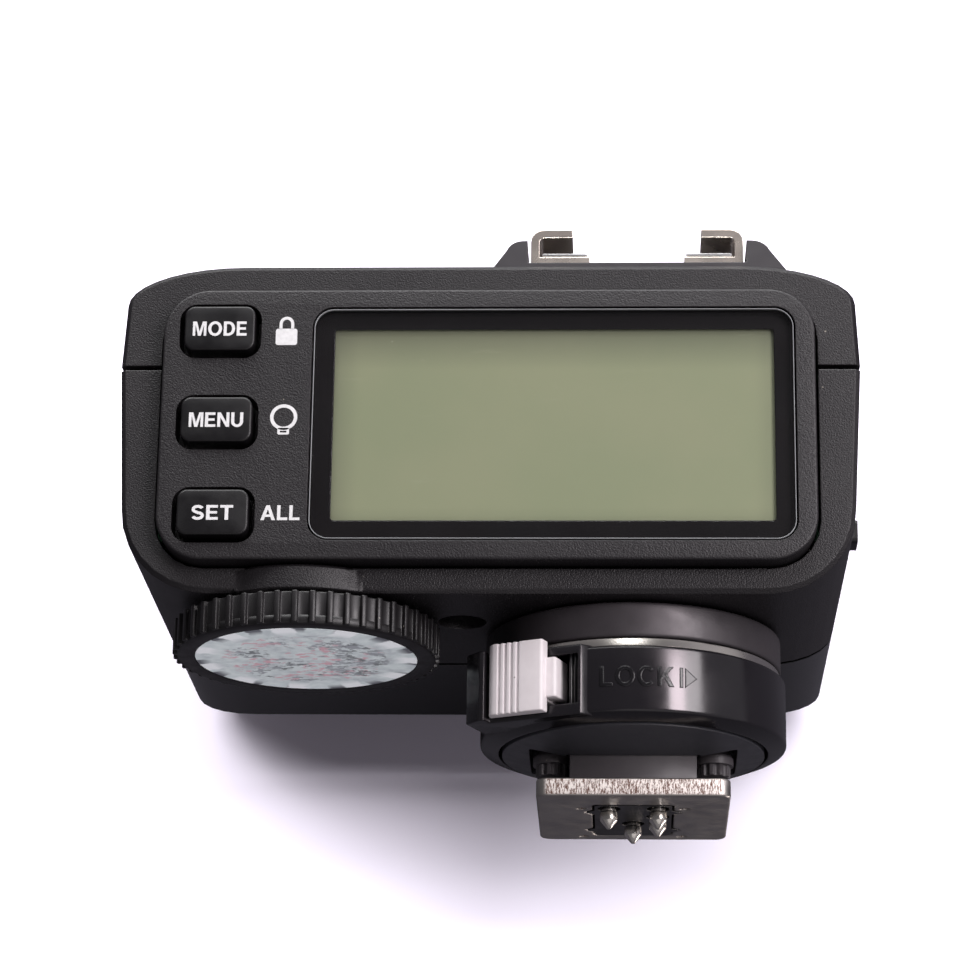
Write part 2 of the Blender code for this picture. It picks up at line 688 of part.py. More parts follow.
def build_contact_pins():
    profile = [(0, 4.2), (0.95, 4.2), (0.95, 3.3), (0.55, 3.3), (0.55, -0.35), (0.85, -0.6), (0.85, -1.3),
               (0.3, -PIN_REACH + 0.1), (0, -PIN_REACH)]
    for name, (x, y) in PIN_PLACES.items():
        pin = turned(name, profile, (x, y, 0), 16)
        shade(pin, 40)
        paint(pin, STEEL, 0.25, 1.0)


# ---------------------------------------------------------------- accessory shoe

def build_shoe_surround():
    """A black base with a fin on each side that rises to the shoe's rail."""
    inner = SHOE_HALF_OUTER + GAP
    foot, floor, sill, top = CASE_TOP + GAP, SHOE_BASE_LOW - GAP, SHOE_BASE_LOW - 0.1, SHOE_FIN_TOP
    left_fin = [(-inner - 3.9, foot)] + arc((-inner - 0.5, top - 1.6), (1.7, 1.6), 160, 90, 5)
    right_fin = arc((inner + 0.5, top - 1.6), (1.9, 1.6), 90, 20, 5) + [(inner + 4.2, foot)]
    outline = left_fin + [(-inner, top), (-inner, sill), (inner, sill), (inner, top)] + right_fin
    length_front = SHOE_FRONT + 4.5
    base = prism("shoe_surround", outline, SHOE_REAR, length_front, "XZ", at=(SHOE_X, 0, 0))
    half = inner - 0.001
    floor_cut = rounded(SHOE_X - half, SHOE_X + half, SHOE_REAR + 0.7, SHOE_FRONT + 1.2, 0.3, 2)
    cut_prism(base, "surround_floor", floor_cut, floor, 58)
    slope = [(SHOE_FRONT, 58), (SHOE_FRONT + 1, top), (length_front + 0.2, foot + 0.6),
             (length_front + 2, 58)]
    cut_prism(base, "surround_slope", slope, -20, 20, "YZ")
    settle(base)
    shade(base)
    paint(base, BLACK, 0.45)


def build_shoe_rail():
    """One bent sheet: base, two upright sides and two lips turned inwards."""
    out, sheet, lip = SHOE_HALF_OUTER, SHOE_SHEET, SHOE_LIP_HALF_GAP
    outer_bend, inner_bend = 1.3, 0.5
    right = [(out - 0.3, SHOE_BASE_LOW), (out, SHOE_BASE_LOW + 0.3)]
    right += arc((out - outer_bend, SHOE_LIP_TOP - outer_bend), (outer_bend, outer_bend), 0, 90, 4)
    right += [(lip, SHOE_LIP_TOP), (lip, SHOE_LIP_TOP - sheet)]
    bend_at = (out - sheet - inner_bend, SHOE_LIP_TOP - sheet - inner_bend)
    right += arc(bend_at, (inner_bend, inner_bend), 90, 0, 3)
    right += [(out - sheet, SHOE_BASE_TOP)]
    left = [(-x, z) for x, z in reversed(right)]
    rail = prism("shoe_rail", right + left, SHOE_REAR + 0.9, SHOE_FRONT, "XZ", at=(SHOE_X, 0, 0))
    cut_prism(rail, "rail_notch", rounded(SHOE_X - 4.7, SHOE_X + 4.7, -30, 3.5, 0.5, 2), 50, 58)
    settle(rail)
    shade(rail)
    paint(rail, NICKEL, 0.3, 1.0)


def build_shoe_parts():
    half, arm = SHOE_HALF_OUTER - SHOE_SHEET - GAP, 4.9
    back, cross, front = SHOE_REAR + 1.2, 4.4, SHOE_FRONT - 0.3
    plan = [(half, back), (half, front), (-half, front), (-half, back),
            (-arm, back), (-arm, cross), (arm, cross), (arm, back)]
    spring_low = SHOE_BASE_TOP + 0.2
    spring = prism("shoe_spring_plate", plan, spring_low, spring_low + 0.3, at=(SHOE_X, 0, 0))
    paint(spring, STEEL, 0.25, 1.0)

    contacts = {"shoe_contact_left": (-2.35, -3.7), "shoe_contact_right": (2.4, -3.7),
                "shoe_contact_side": (2.4, -0.4), "shoe_contact_centre": (0.0, -7.4)}
    holes = [circle(place, 1.3, 16) for place in contacts.values()]
    block_top = SHOE_BASE_TOP + 0.25
    block = prism("shoe_contact_block", rounded(-4.3, 4.3, -10.2, 3.1, 0.5, 2), SHOE_BASE_LOW, block_top,
                  at=(SHOE_X, 0, 0), holes=holes)
    paint(block, BLACK, 0.4)
    for name, (x, y) in contacts.items():
        contact = turned(name, rod_profile(1.0, SHOE_BASE_LOW, block_top + 0.1), (SHOE_X + x, y, 0), 16)
        paint(contact, NICKEL, 0.2, 1.0)


# ---------------------------------------------------------------- keys, switches, sockets on other faces

def build_top_keys():
    outline = rounded(-5.0, 5.0, -2.3, 2.3, 1.2, 3)
    for letter, y in zip("abcde", GROUP_KEY_Y):
        key = prism(f"group_button_{letter}", outline, -2.2, 0.6, at=(GROUP_KEY_X, y, CASE_TOP), edge=0.3)
        shade(key, 50)
        paint(key, BLACK, 0.4)
    test = turned("test_button", [(0, 0.7), (3.1, 0.7), (3.5, 0.3), (3.5, -2.2), (0, -2.2)],
                  (*TEST_KEY, CASE_TOP), 32)
    shade(test, 40)
    paint(test, (0.35, 0.02, 0.02), 0.35)
    light = turned("status_light", rod_profile(1.2, -2.2, 0.2), (*STATUS_LIGHT, CASE_TOP), 16)
    shade(light)
    paint(light, (0.75, 0.75, 0.72), 0.2)


def build_switches():
    """Slide switches in the right-hand wall: a knob outside, a wider slider inside the wall."""
    for name, z in SWITCH_Z.items():
        knob = prism(name, rounded(-2.4, 1.0, -1.2, 1.2, 0.5, 2), 19.0, 22.4, "YZ", at=(0, 0, z))
        slider = prism(name + "_slider", rounded(-3.2, 1.8, -2.3, 2.3, 0.3, 2), 17.6, 19.2, "YZ",
                       at=(0, 0, z), cutter=True)
        combine(knob, slider, "UNION")
        settle(knob)
        shade(knob)
        paint(knob, BLACK, 0.45)


def build_sockets():
    data = prism("data_socket", rounded(*DATA_SOCKET, 1.55, 5), SOCKET_FACE, -42.2, "YZ")
    cut_prism(data, "data_mouth", rounded(*grown(DATA_SOCKET, -0.3), 1.25, 5), -55, -43, "YZ")
    tongue = prism("data_tongue", rounded(0.9, 7.5, 29.6, 30.2, 0.1, 1), -48.6, -42.6, "YZ", cutter=True)
    combine(data, tongue, "UNION")
    settle(data)
    shade(data)
    paint(data, STEEL, 0.3, 1.0)
    jack = prism("sync_jack", circle(SYNC_JACK, SYNC_RADIUS, 24), SOCKET_FACE, -42.8, "YZ")
    cut_prism(jack, "jack_bore", circle(SYNC_JACK, 1.3, 16), -55, -44, "YZ")
    settle(jack)
    shade(jack)
    paint(jack, BLACK, 0.4)


def build_assist_lamp():
    lens = prism("assist_lamp_window", rounded(*LAMP_WINDOW, 0.9, 3), 53.2, CASE_FRONT - 0.1, "XZ",
                 at=(CASE_X, 0, 0), edge=0.2)
    shade(lens, 50)
    paint(lens, (0.12, 0.004, 0.006), 0.1)
    led = prism("assist_led", circle((CASE_X, 44.0), 1.6, 16), 49.0, 52.6, "XZ")
    shade(led)
    paint(led, (0.7, 0.1, 0.08), 0.2)


# ---------------------------------------------------------------- cells and their contacts

def build_cells():
    nub_tips = {"battery_rear": CONTACT_RIGHT_X - 0.3, "battery_front": CONTACT_LEFT_X + 0.3}
    profile = [(0, CELL_LENGTH + NUB_LENGTH), (2.75, CELL_LENGTH + NUB_LENGTH), (2.75, CELL_LENGTH),
               (CELL_RADIUS - 0.6, CELL_LENGTH), (CELL_RADIUS, CELL_LENGTH - 0.6), (CELL_RADIUS, 0.4),
               (CELL_RADIUS - 0.4, 0), (0, 0)]
    for name, (y, z) in CELL_PLACES.items():
        points_right = name == "battery_rear"
        reach = CELL_LENGTH + NUB_LENGTH
        base = nub_tips[name] - reach if points_right else nub_tips[name] + reach
        cell = turned(name, profile, (base, y, z), 32)
        quarter = math.pi / 2 if points_right else -math.pi / 2
        cell.data.transform(Matrix.Rotation(quarter, 4, "Y"))
        shade(cell)
        paint(cell, (0.1, 0.1, 0.1), 0.3, 0.3)
        build_cell_spring(name, base, y, z, points_right)


def build_cell_spring(name, base, y, z, points_right):
    """A cone-shaped coil between a contact plate and the flat end of its cell."""
    plate = CONTACT_LEFT_X + 0.3 if points_right else CONTACT_RIGHT_X - 0.3
    wire, turns, per_turn = 0.35, 4, 10
    start = plate + (0.4 + wire if points_right else -0.4 - wire)
    end = base + (-0.3 - wire if points_right else 0.3 + wire)
    curve = bpy.data.curves.new(name + "_spring", "CURVE")
    curve.dimensions = "3D"
    curve.bevel_depth = wire * MM
    curve.bevel_resolution = 0
    curve.use_fill_caps = True
    spline = curve.splines.new("POLY")
    count = turns * per_turn + 1
    spline.points.add(count - 1)
    for i, point in enumerate(spline.points):
        share = i / (count - 1)
        radius = 4.2 - 1.6 * share
        angle = math.tau * i / per_turn
        point.co = ((start + (end - start) * share) * MM, (y + radius * math.cos(angle)) * MM,
                    (z + radius * math.sin(angle)) * MM, 1)
    coil = bpy.data.objects.new(name + "_coil", curve)
    MODEL.objects.link(coil)
    mesh = mesh_of(coil)
    bpy.data.objects.remove(coil, do_unlink=True)
    spring = place_object(name.replace("battery", "cell_spring"), mesh, (0, 0, 0), False)
    shade(spring, 60)
    paint(spring, NICKEL, 0.25, 1.0)


def build_tray_and_contacts():
    rear, front = 10.6, 43.6
    left, right = CONTACT_LEFT_X - 0.5, CONTACT_RIGHT_X + 0.5
    plan = [(left - 1.4, rear), (right + 1.4, rear), (right + 1.4, front), (right, front),
            (right, rear + 1.4), (left, rear + 1.4), (left, front), (left - 1.4, front)]
    tray = prism("battery_tray", plan, 27.2, 39.5)
    paint(tray, SOFT_BLACK, 0.6)
    for name, x in (("contact_plate_left", CONTACT_LEFT_X), ("contact_plate_right", CONTACT_RIGHT_X)):
        plate = box(name, (x - 0.2, 14.0, 27.4), (x + 0.2, 43.0, 38.5))
        paint(plate, NICKEL, 0.3, 1.0)


def build_case_screw():
    x, y = SCREW_PLACE
    profile = [(0, 35), (0.9, 35), (0.9, 24.0), (2.1, 24.0), (2.1, 22.9), (0, 22.9)]
    screw = turned("case_screw", profile, (x, y, 0), 16)
    for name, size in (("drive_slot_a", (1.2, 0.25)), ("drive_slot_b", (0.25, 1.2))):
        slot = box(name, (x - size[0], y - size[1], 22), (x + size[0], y + size[1], 23.5), cutter=True)
        combine(screw, slot)
    settle(screw)
    shade(screw)
    paint(screw, STEEL, 0.35, 1.0)


clear_scene()
MODEL = new_collection("wireless_flash_trigger")
CUTTERS = new_collection("cutters")
build_case()
build_panel()
build_keys()
build_boards()
build_dial()
build_collar_and_washer()
build_lock_ring()
build_lock_button()
build_clamp_disc()
build_neck()
build_foot_plate()
build_contact_pins()
build_shoe_surround()
build_shoe_rail()
build_shoe_parts()
build_top_keys()
build_switches()
build_sockets()
build_assist_lamp()
build_tray_and_contacts()
build_cells()
build_case_screw()
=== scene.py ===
import json
import math

import bmesh
import bpy
from mathutils import Matrix, Vector


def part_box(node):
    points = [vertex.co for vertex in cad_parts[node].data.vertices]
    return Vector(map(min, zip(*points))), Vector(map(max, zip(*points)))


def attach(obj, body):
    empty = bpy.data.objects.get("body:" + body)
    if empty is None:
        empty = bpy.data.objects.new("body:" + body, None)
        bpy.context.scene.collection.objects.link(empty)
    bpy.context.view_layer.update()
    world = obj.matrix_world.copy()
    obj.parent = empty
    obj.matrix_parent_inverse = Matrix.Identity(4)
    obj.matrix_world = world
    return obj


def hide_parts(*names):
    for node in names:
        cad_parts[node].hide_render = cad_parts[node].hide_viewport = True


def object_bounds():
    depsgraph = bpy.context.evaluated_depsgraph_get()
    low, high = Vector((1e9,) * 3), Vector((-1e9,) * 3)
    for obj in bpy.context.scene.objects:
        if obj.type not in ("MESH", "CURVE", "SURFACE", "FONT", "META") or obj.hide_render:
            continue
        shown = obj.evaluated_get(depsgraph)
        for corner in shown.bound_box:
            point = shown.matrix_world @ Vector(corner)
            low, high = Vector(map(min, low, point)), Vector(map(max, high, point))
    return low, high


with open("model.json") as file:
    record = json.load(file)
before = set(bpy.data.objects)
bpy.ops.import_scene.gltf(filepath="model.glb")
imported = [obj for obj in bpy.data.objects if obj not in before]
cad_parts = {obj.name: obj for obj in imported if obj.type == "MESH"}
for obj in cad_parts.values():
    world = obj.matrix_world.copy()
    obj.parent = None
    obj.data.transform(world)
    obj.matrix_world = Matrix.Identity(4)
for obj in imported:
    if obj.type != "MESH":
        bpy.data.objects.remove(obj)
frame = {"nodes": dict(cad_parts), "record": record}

CAD_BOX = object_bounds()
MM = 0.001


# ---------------------------------------------------------------- sizes taken from the frame

def span(node, axis):
    """Lowest and highest coordinate of a CAD node along an axis, in millimetres."""
    low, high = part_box(node)
    index = "xyz".index(axis)
    return low[index] / MM, high[index] / MM


def middle(node, axis):
    low, high = span(node, axis)
    return (low + high) / 2


PANEL_X = span("front_panel", "x")
PANEL_Z = span("front_panel", "z")
PANEL_FACE = span("front_panel", "y")[0]
PANEL_BACK = span("front_panel", "y")[1]
GLASS_X = span("lcd_glass", "x")
GLASS_Z = span("lcd_glass", "z")
GLASS_FACE = span("lcd_glass", "y")[0]
GLASS_BACK = span("lcd_glass", "y")[1]
KEYS = ("mode_button", "menu_button", "set_button")
KEY_FACE = span("mode_button", "y")[0]
DIAL_X = middle("select_dial", "x")
DIAL_Y = middle("select_dial", "y")
DIAL_RADIUS = (span("select_dial", "x")[1] - span("select_dial", "x")[0]) / 2
LABEL_RADIUS = (span("dial_label", "x")[1] - span("dial_label", "x")[0]) / 2
RING_RADIUS = span("lock_ring", "x")[1]
RING_LOW = span("lock_ring", "z")[0]
PLATE_X = span("foot_plate", "x")
PLATE_Y = span("foot_plate", "y")
PLATE_TOP = span("foot_plate", "z")[1]


# ---------------------------------------------------------------- meshes

PLANE_TURNS = {
    "XY": Matrix.Identity(4),
    "XZ": Matrix(((1, 0, 0, 0), (0, 0, -1, 0), (0, 1, 0, 0), (0, 0, 0, 1))),
    "YZ": Matrix(((0, 0, 1, 0), (1, 0, 0, 0), (0, 1, 0, 0), (0, 0, 0, 1))),
}
PLANE_NORMALS = {"XY": (0, 0, 1), "XZ": (0, 1, 0), "YZ": (1, 0, 0)}


def link(name, data):
    item = bpy.data.objects.new(name, data)
    bpy.context.scene.collection.objects.link(item)
    return item


def evaluated_mesh(item):
    """The evaluated mesh of an object, welded and facing outwards."""
    depsgraph = bpy.context.evaluated_depsgraph_get()
    mesh = bpy.data.meshes.new_from_object(item.evaluated_get(depsgraph))
    cage = bmesh.new()
    cage.from_mesh(mesh)
    bmesh.ops.remove_doubles(cage, verts=cage.verts, dist=1e-6)
    bmesh.ops.recalc_face_normals(cage, faces=cage.faces)
    cage.to_mesh(mesh)
    cage.free()
    return mesh


def drop(*items):
    for item in items:
        bpy.data.objects.remove(item, do_unlink=True)


def prism(name, outline, low, high, plane="XY", holes=(), edge=0.0, rounds=3):
    """A flat outline with holes, drawn out along the plane's normal, with rounded edges."""
    curve = bpy.data.curves.new(name, "CURVE")
    curve.dimensions = "2D"
    curve.fill_mode = "BOTH"
    curve.extrude = ((high - low) / 2 - edge) * MM
    curve.bevel_depth = edge * MM
    curve.bevel_resolution = rounds
    curve.offset = -edge * MM
    for points in (outline, *holes):
        spline = curve.splines.new("POLY")
        spline.points.add(len(points) - 1)
        for point, (a, b) in zip(spline.points, points):
            point.co = (a * MM, b * MM, 0, 1)
        spline.use_cyclic_u = True
    flat = link(name + "_curve", curve)
    mesh = evaluated_mesh(flat)
    drop(flat)
    lift = Matrix.Translation([v * (low + high) / 2 * MM for v in PLANE_NORMALS[plane]])
    mesh.transform(lift @ PLANE_TURNS[plane])
    return link(name, mesh)


def turned(name, profile, centre=(0, 0), steps=160, ring=False):
    """A profile of (radius, height) points turned about a vertical axis; it runs down its outer side."""
    mesh = bpy.data.meshes.new(name)
    edges = [(i, i + 1) for i in range(len(profile) - 1)]
    if ring:
        edges.append((len(profile) - 1, 0))
    mesh.from_pydata([(r * MM, 0, z * MM) for r, z in profile], edges, [])
    item = link(name, mesh)
    turn = item.modifiers.new("turn", "SCREW")
    turn.steps = steps
    turn.render_steps = steps
    turn.use_merge_vertices = True
    turn.merge_threshold = 1e-5
    solid = evaluated_mesh(item)
    item.modifiers.clear()
    item.data = solid
    solid.transform(Matrix.Translation((centre[0] * MM, centre[1] * MM, 0)))
    return item


def arc(centre, radii, start, end, steps):
    points = []
    for i in range(steps + 1):
        angle = math.radians(start + (end - start) * i / steps)
        points.append((centre[0] + radii[0] * math.cos(angle), centre[1] + radii[1] * math.sin(angle)))
    return points


def circle(centre, radius, steps=48):
    return arc(centre, (radius, radius), 0, 360 - 360 / steps, steps - 1)


def rounded(x0, x1, y0, y1, radius, steps=10):
    points = []
    for x, y, start in ((x1 - radius, y0 + radius, -90), (x1 - radius, y1 - radius, 0),
                        (x0 + radius, y1 - radius, 90), (x0 + radius, y0 + radius, 180)):
        points += arc((x, y), (radius, radius), start, start + 90, steps)
    return points


def softened(profile, radius, steps=4):
    """A closed profile with each corner replaced by an arc-like curve of about the given radius."""
    points = []
    count = len(profile)
    for i, corner in enumerate(profile):
        corner = Vector(corner)
        before = Vector(profile[i - 1]) - corner
        after = Vector(profile[(i + 1) % count]) - corner
        reach = min(radius, before.length / 2.2, after.length / 2.2)
        first = corner + before.normalized() * reach
        last = corner + after.normalized() * reach
        for k in range(steps + 1):
            t = k / steps
            points.append(tuple(first * (1 - t) ** 2 + corner * 2 * t * (1 - t) + last * t ** 2))
    return points


def cut(item, *tools, operation="DIFFERENCE"):
    for tool in tools:
        step = item.modifiers.new(tool.name, "BOOLEAN")
        step.operation = operation
        step.solver = "EXACT"
        step.object = tool
    mesh = evaluated_mesh(item)
    item.modifiers.clear()
    item.data = mesh
    drop(*tools)


def smooth(item, degrees=35):
    item.data.shade_smooth()
    item.data.set_sharp_from_angle(angle=math.radians(degrees))
    return item


def fine_copy(node):
    """A copy of a CAD node for show: welded, its flat areas merged, its faces shaded smooth."""
    mesh = frame["nodes"][node].data.copy()
    cage = bmesh.new()
    cage.from_mesh(mesh)
    bmesh.ops.remove_doubles(cage, verts=cage.verts, dist=1e-6)
    bmesh.ops.dissolve_limit(cage, angle_limit=math.radians(0.3), verts=cage.verts, edges=cage.edges)
    cage.to_mesh(mesh)
    cage.free()
    mesh.materials.clear()
    item = link(node + ".fine", mesh)
    smooth(item, 32)
    weight = item.modifiers.new("weighted", "WEIGHTED_NORMAL")
    weight.keep_sharp = True
    return item


BODY_OF = {node: body for body, nodes in frame["record"]["behaviour"]["bodies"].items() for node in nodes}


def dress(item, look, body, replaces=()):
    """Give a piece its material and the body it rides on, and hide the CAD nodes it stands for."""
    item.data.materials.clear()
    item.data.materials.append(look)
    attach(item, body)
    if replaces:
        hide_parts(*replaces)
    return item


def stand_in(item, look, node):
    return dress(item, look, BODY_OF[node], (node,))


# ---------------------------------------------------------------- materials

class Look:
    """Builds one Principled material from procedural layers, in object coordinates (metres)."""

    def __init__(self, name, colour, roughness, metallic=0.0, specular=0.5):
        self.material = bpy.data.materials.new(name)
        self.material.use_nodes = True
        self.tree = self.material.node_tree
        self.shader = self.tree.nodes["Principled BSDF"]
        self.shader.inputs["Base Color"].default_value = (*colour, 1)
        self.shader.inputs["Roughness"].default_value = roughness
        self.shader.inputs["Metallic"].default_value = metallic
        self.shader.inputs["Specular IOR Level"].default_value = specular
        self.where = self.node("ShaderNodeTexCoord").outputs["Object"]
        self.colour = None
        self.base = colour
        self.rough = None
        self.base_rough = roughness
        self.normal = None

    def node(self, kind, **settings):
        made = self.tree.nodes.new(kind)
        for key, value in settings.items():
            setattr(made, key, value)
        return made

    def join(self, output, target):
        self.tree.links.new(output, target)

    def noise(self, size, detail=3.0, stretch=None, rough=0.5):
        """A noise field whose features are about size millimetres across."""
        made = self.node("ShaderNodeTexNoise")
        made.inputs["Scale"].default_value = 1 / (size * MM)
        made.inputs["Detail"].default_value = detail
        made.inputs["Roughness"].default_value = rough
        if stretch:
            mapping = self.node("ShaderNodeMapping")
            mapping.inputs["Scale"].default_value = stretch
            self.join(self.where, mapping.inputs["Vector"])
            self.join(mapping.outputs["Vector"], made.inputs["Vector"])
        else:
            self.join(self.where, made.inputs["Vector"])
        return made.outputs["Fac"]

    def cells(self, size, feature="F1"):
        made = self.node("ShaderNodeTexVoronoi", feature=feature)
        made.inputs["Scale"].default_value = 1 / (size * MM)
        self.join(self.where, made.inputs["Vector"])
        return made

    def ramp(self, field, low, high, out_low=0.0, out_high=1.0):
        made = self.node("ShaderNodeMapRange")
        made.inputs["From Min"].default_value = low
        made.inputs["From Max"].default_value = high
        made.inputs["To Min"].default_value = out_low
        made.inputs["To Max"].default_value = out_high
        self.join(field, made.inputs["Value"])
        return made.outputs["Result"]

    def math(self, operation, first, second):
        made = self.node("ShaderNodeMath", operation=operation)
        for socket, value in zip(made.inputs, (first, second)):
            if isinstance(value, (int, float)):
                socket.default_value = value
            else:
                self.join(value, socket)
        return made.outputs["Value"]

    def mix_colour(self, amount, colour):
        made = self.node("ShaderNodeMix", data_type="RGBA")
        self.join(amount, made.inputs["Factor"])
        if self.colour is None:
            made.inputs["A"].default_value = (*self.base, 1)
        else:
            self.join(self.colour, made.inputs["A"])
        made.inputs["B"].default_value = (*colour, 1)
        self.colour = made.outputs["Result"]
        return self

    def mix_rough(self, amount, value):
        made = self.node("ShaderNodeMix", data_type="FLOAT")
        self.join(amount, made.inputs["Factor"])
        if self.rough is None:
            made.inputs["A"].default_value = self.base_rough
        else:
            self.join(self.rough, made.inputs["A"])
        made.inputs["B"].default_value = value
        self.rough = made.outputs["Result"]
        return self

    def round_edges(self, radius):
        """Shading as if every edge had a small radius."""
        made = self.node("ShaderNodeBevel", samples=6)
        made.inputs["Radius"].default_value = radius * MM
        self.normal = made.outputs["Normal"]
        return self

    def grain(self, size, depth, strength=1.0, detail=2.0, stretch=None):
        """Raised texture: features of size millimetres, depth millimetres high."""
        made = self.node("ShaderNodeBump")
        made.inputs["Strength"].default_value = strength
        made.inputs["Distance"].default_value = depth * MM
        self.join(self.noise(size, detail, stretch), made.inputs["Height"])
        if self.normal:
            self.join(self.normal, made.inputs["Normal"])
        self.normal = made.outputs["Normal"]
        return self

    def mottle(self, size, colour, amount=0.5):
        return self.mix_colour(self.ramp(self.noise(size, 4), 0.4, 0.65, 0, amount), colour)

    def vary_rough(self, size, value, amount=1.0):
        return self.mix_rough(self.ramp(self.noise(size, 4), 0.35, 0.65, 0, amount), value)

    def dust(self, spacing, radius=0.035, colour=(0.22, 0.20, 0.17), share=0.25):
        """Sparse pale specks of uneven outline round some of the cell points."""
        cell = self.cells(spacing)
        ragged = self.math("MULTIPLY", self.noise(0.08, 2), radius * 1.6)
        near = self.math("LESS_THAN", self.math("ADD", cell.outputs["Distance"], ragged), radius * 1.8)
        pick = self.node("ShaderNodeSeparateColor")
        self.join(cell.outputs["Color"], pick.inputs["Color"])
        chosen = self.math("LESS_THAN", pick.outputs["Red"], share)
        return self.mix_colour(self.math("MULTIPLY", near, chosen), colour)

    def edge_wear_and_highlight(self, radius, colour, rough=0.3, amount=0.7):
        """Paler, smoother edges, found where a rounded normal leaves the true one: partly wear, partly a
        painted highlight along every edge.
        """
        bevel = self.node("ShaderNodeBevel", samples=6)
        bevel.inputs["Radius"].default_value = radius * MM
        geometry = self.node("ShaderNodeNewGeometry")
        dot = self.node("ShaderNodeVectorMath", operation="DOT_PRODUCT")
        self.join(bevel.outputs["Normal"], dot.inputs[0])
        self.join(geometry.outputs["Normal"], dot.inputs[1])
        edge = self.ramp(dot.outputs["Value"], 0.97, 0.75)
        broken = self.math("MULTIPLY", edge, self.ramp(self.noise(0.8, 4), 0.35, 0.6, 0, amount))
        # the pale edge colour is partly wear and partly a painted highlight
        self.mix_colour(broken, colour)
        return self.mix_rough(broken, rough)

    def done(self):
        if self.colour:
            self.join(self.colour, self.shader.inputs["Base Color"])
        if self.rough:
            self.join(self.rough, self.shader.inputs["Roughness"])
        if self.normal:
            self.join(self.normal, self.shader.inputs["Normal"])
        return self.material


def case_look(name="case_plastic", edge=0.18):
    look = Look(name, (0.0115, 0.0098, 0.0115), 0.44)
    look.round_edges(edge)
    look.grain(0.16, 0.06, 1.0, 2.0)
    look.mottle(9.0, (0.0135, 0.0118, 0.0132), 0.6)
    look.vary_rough(9.0, 0.50, 0.6)
    # pale edges: partly wear, partly a painted highlight
    look.edge_wear_and_highlight(edge + 0.05, (0.07, 0.065, 0.068), 0.4, 0.5)
    look.dust(2.6)
    return look.done()


def satin_look(name, colour, roughness):
    look = Look(name, colour, roughness)
    look.round_edges(0.15)
    look.grain(0.3, 0.006, 0.5)
    look.vary_rough(2.0, roughness + 0.12)
    # pale edges: partly wear, partly a painted highlight
    look.edge_wear_and_highlight(0.2, (0.06, 0.056, 0.058), 0.3, 0.5)
    look.dust(2.2)
    return look.done()


def gloss_look(name, colour, roughness):
    look = Look(name, colour, roughness)
    look.round_edges(0.2)
    look.grain(1.2, 0.004, 0.6)
    look.vary_rough(4.0, roughness + 0.1)
    # pale edges: partly wear, partly a painted highlight
    look.edge_wear_and_highlight(0.2, (0.05, 0.045, 0.05), 0.2, 0.5)
    look.dust(3.0, 0.03)
    return look.done()


def door_look(name="door_gloss", colour=(0.0035, 0.0035, 0.0042), roughness=0.08):
    """Polished black, with faint rubbed patches."""
    look = Look(name, colour, roughness)
    look.round_edges(0.2)
    look.mottle(9.0, (0.005, 0.005, 0.0055), 0.6)
    look.vary_rough(7.0, roughness + 0.05)
    look.dust(3.4, 0.02)
    return look.done()


def grey_look():
    look = Look("grey_plastic", (0.82, 0.77, 0.78), 0.42)
    look.round_edges(0.12)
    look.grain(0.25, 0.006, 0.5)
    look.mottle(2.0, (0.72, 0.67, 0.68), 0.5)
    look.vary_rough(1.5, 0.55)
    look.dust(3.0, 0.03, (0.3, 0.28, 0.26))
    return look.done()


def metal_look(name, colour, roughness, brushed=(1, 1, 1), depth=0.004, edge=0.12):
    look = Look(name, colour, roughness, metallic=1.0)
    look.round_edges(edge)
    look.grain(0.12, depth, 0.7, 3.0, brushed)
    look.mottle(4.0, tuple(c * 0.85 for c in colour), 0.4)
    look.vary_rough(3.0, roughness + 0.08, 0.6)
    return look.done()


def plain_look(name, colour, roughness, metallic=0.0):
    """Pieces that are mostly hidden: a fine grain and a little variation."""
    look = Look(name, colour, roughness, metallic)
    look.grain(0.3, 0.008, 0.5)
    look.mottle(3.0, tuple(c * 0.8 for c in colour), 0.5)
    look.vary_rough(2.0, min(1.0, roughness + 0.12))
    return look.done()


def print_look():
    look = Look("white_print", (0.80, 0.80, 0.80), 0.5)
    look.grain(0.1, 0.004, 0.6)
    look.mottle(0.4, (0.62, 0.62, 0.62), 0.5)
    return look.done()


def plate_look():
    """Satin nickel. The faces turned to -Y, the rear edge, are paler and rougher, with brown streaks."""
    look = Look("foot_nickel", (0.42, 0.40, 0.375), 0.34, metallic=1.0)
    look.round_edges(0.15)
    look.grain(0.15, 0.006, 0.7, 3.0, (1, 4, 1))
    look.mottle(5.0, (0.33, 0.31, 0.29), 0.7)
    look.vary_rough(2.0, 0.5)
    facing = look.node("ShaderNodeNewGeometry")
    parts = look.node("ShaderNodeSeparateXYZ")
    look.join(facing.outputs["Normal"], parts.inputs["Vector"])
    rear = look.ramp(parts.outputs["Y"], -0.9, -0.98)
    streaks = look.ramp(look.noise(0.26, 5, (2.2, 1, 0.55), 0.75), 0.47, 0.55)
    look.mix_colour(rear, (0.88, 0.82, 0.78))
    look.mix_colour(look.math("MULTIPLY", rear, streaks), (0.17, 0.10, 0.08))
    look.mix_rough(rear, 0.55)
    return look.done()


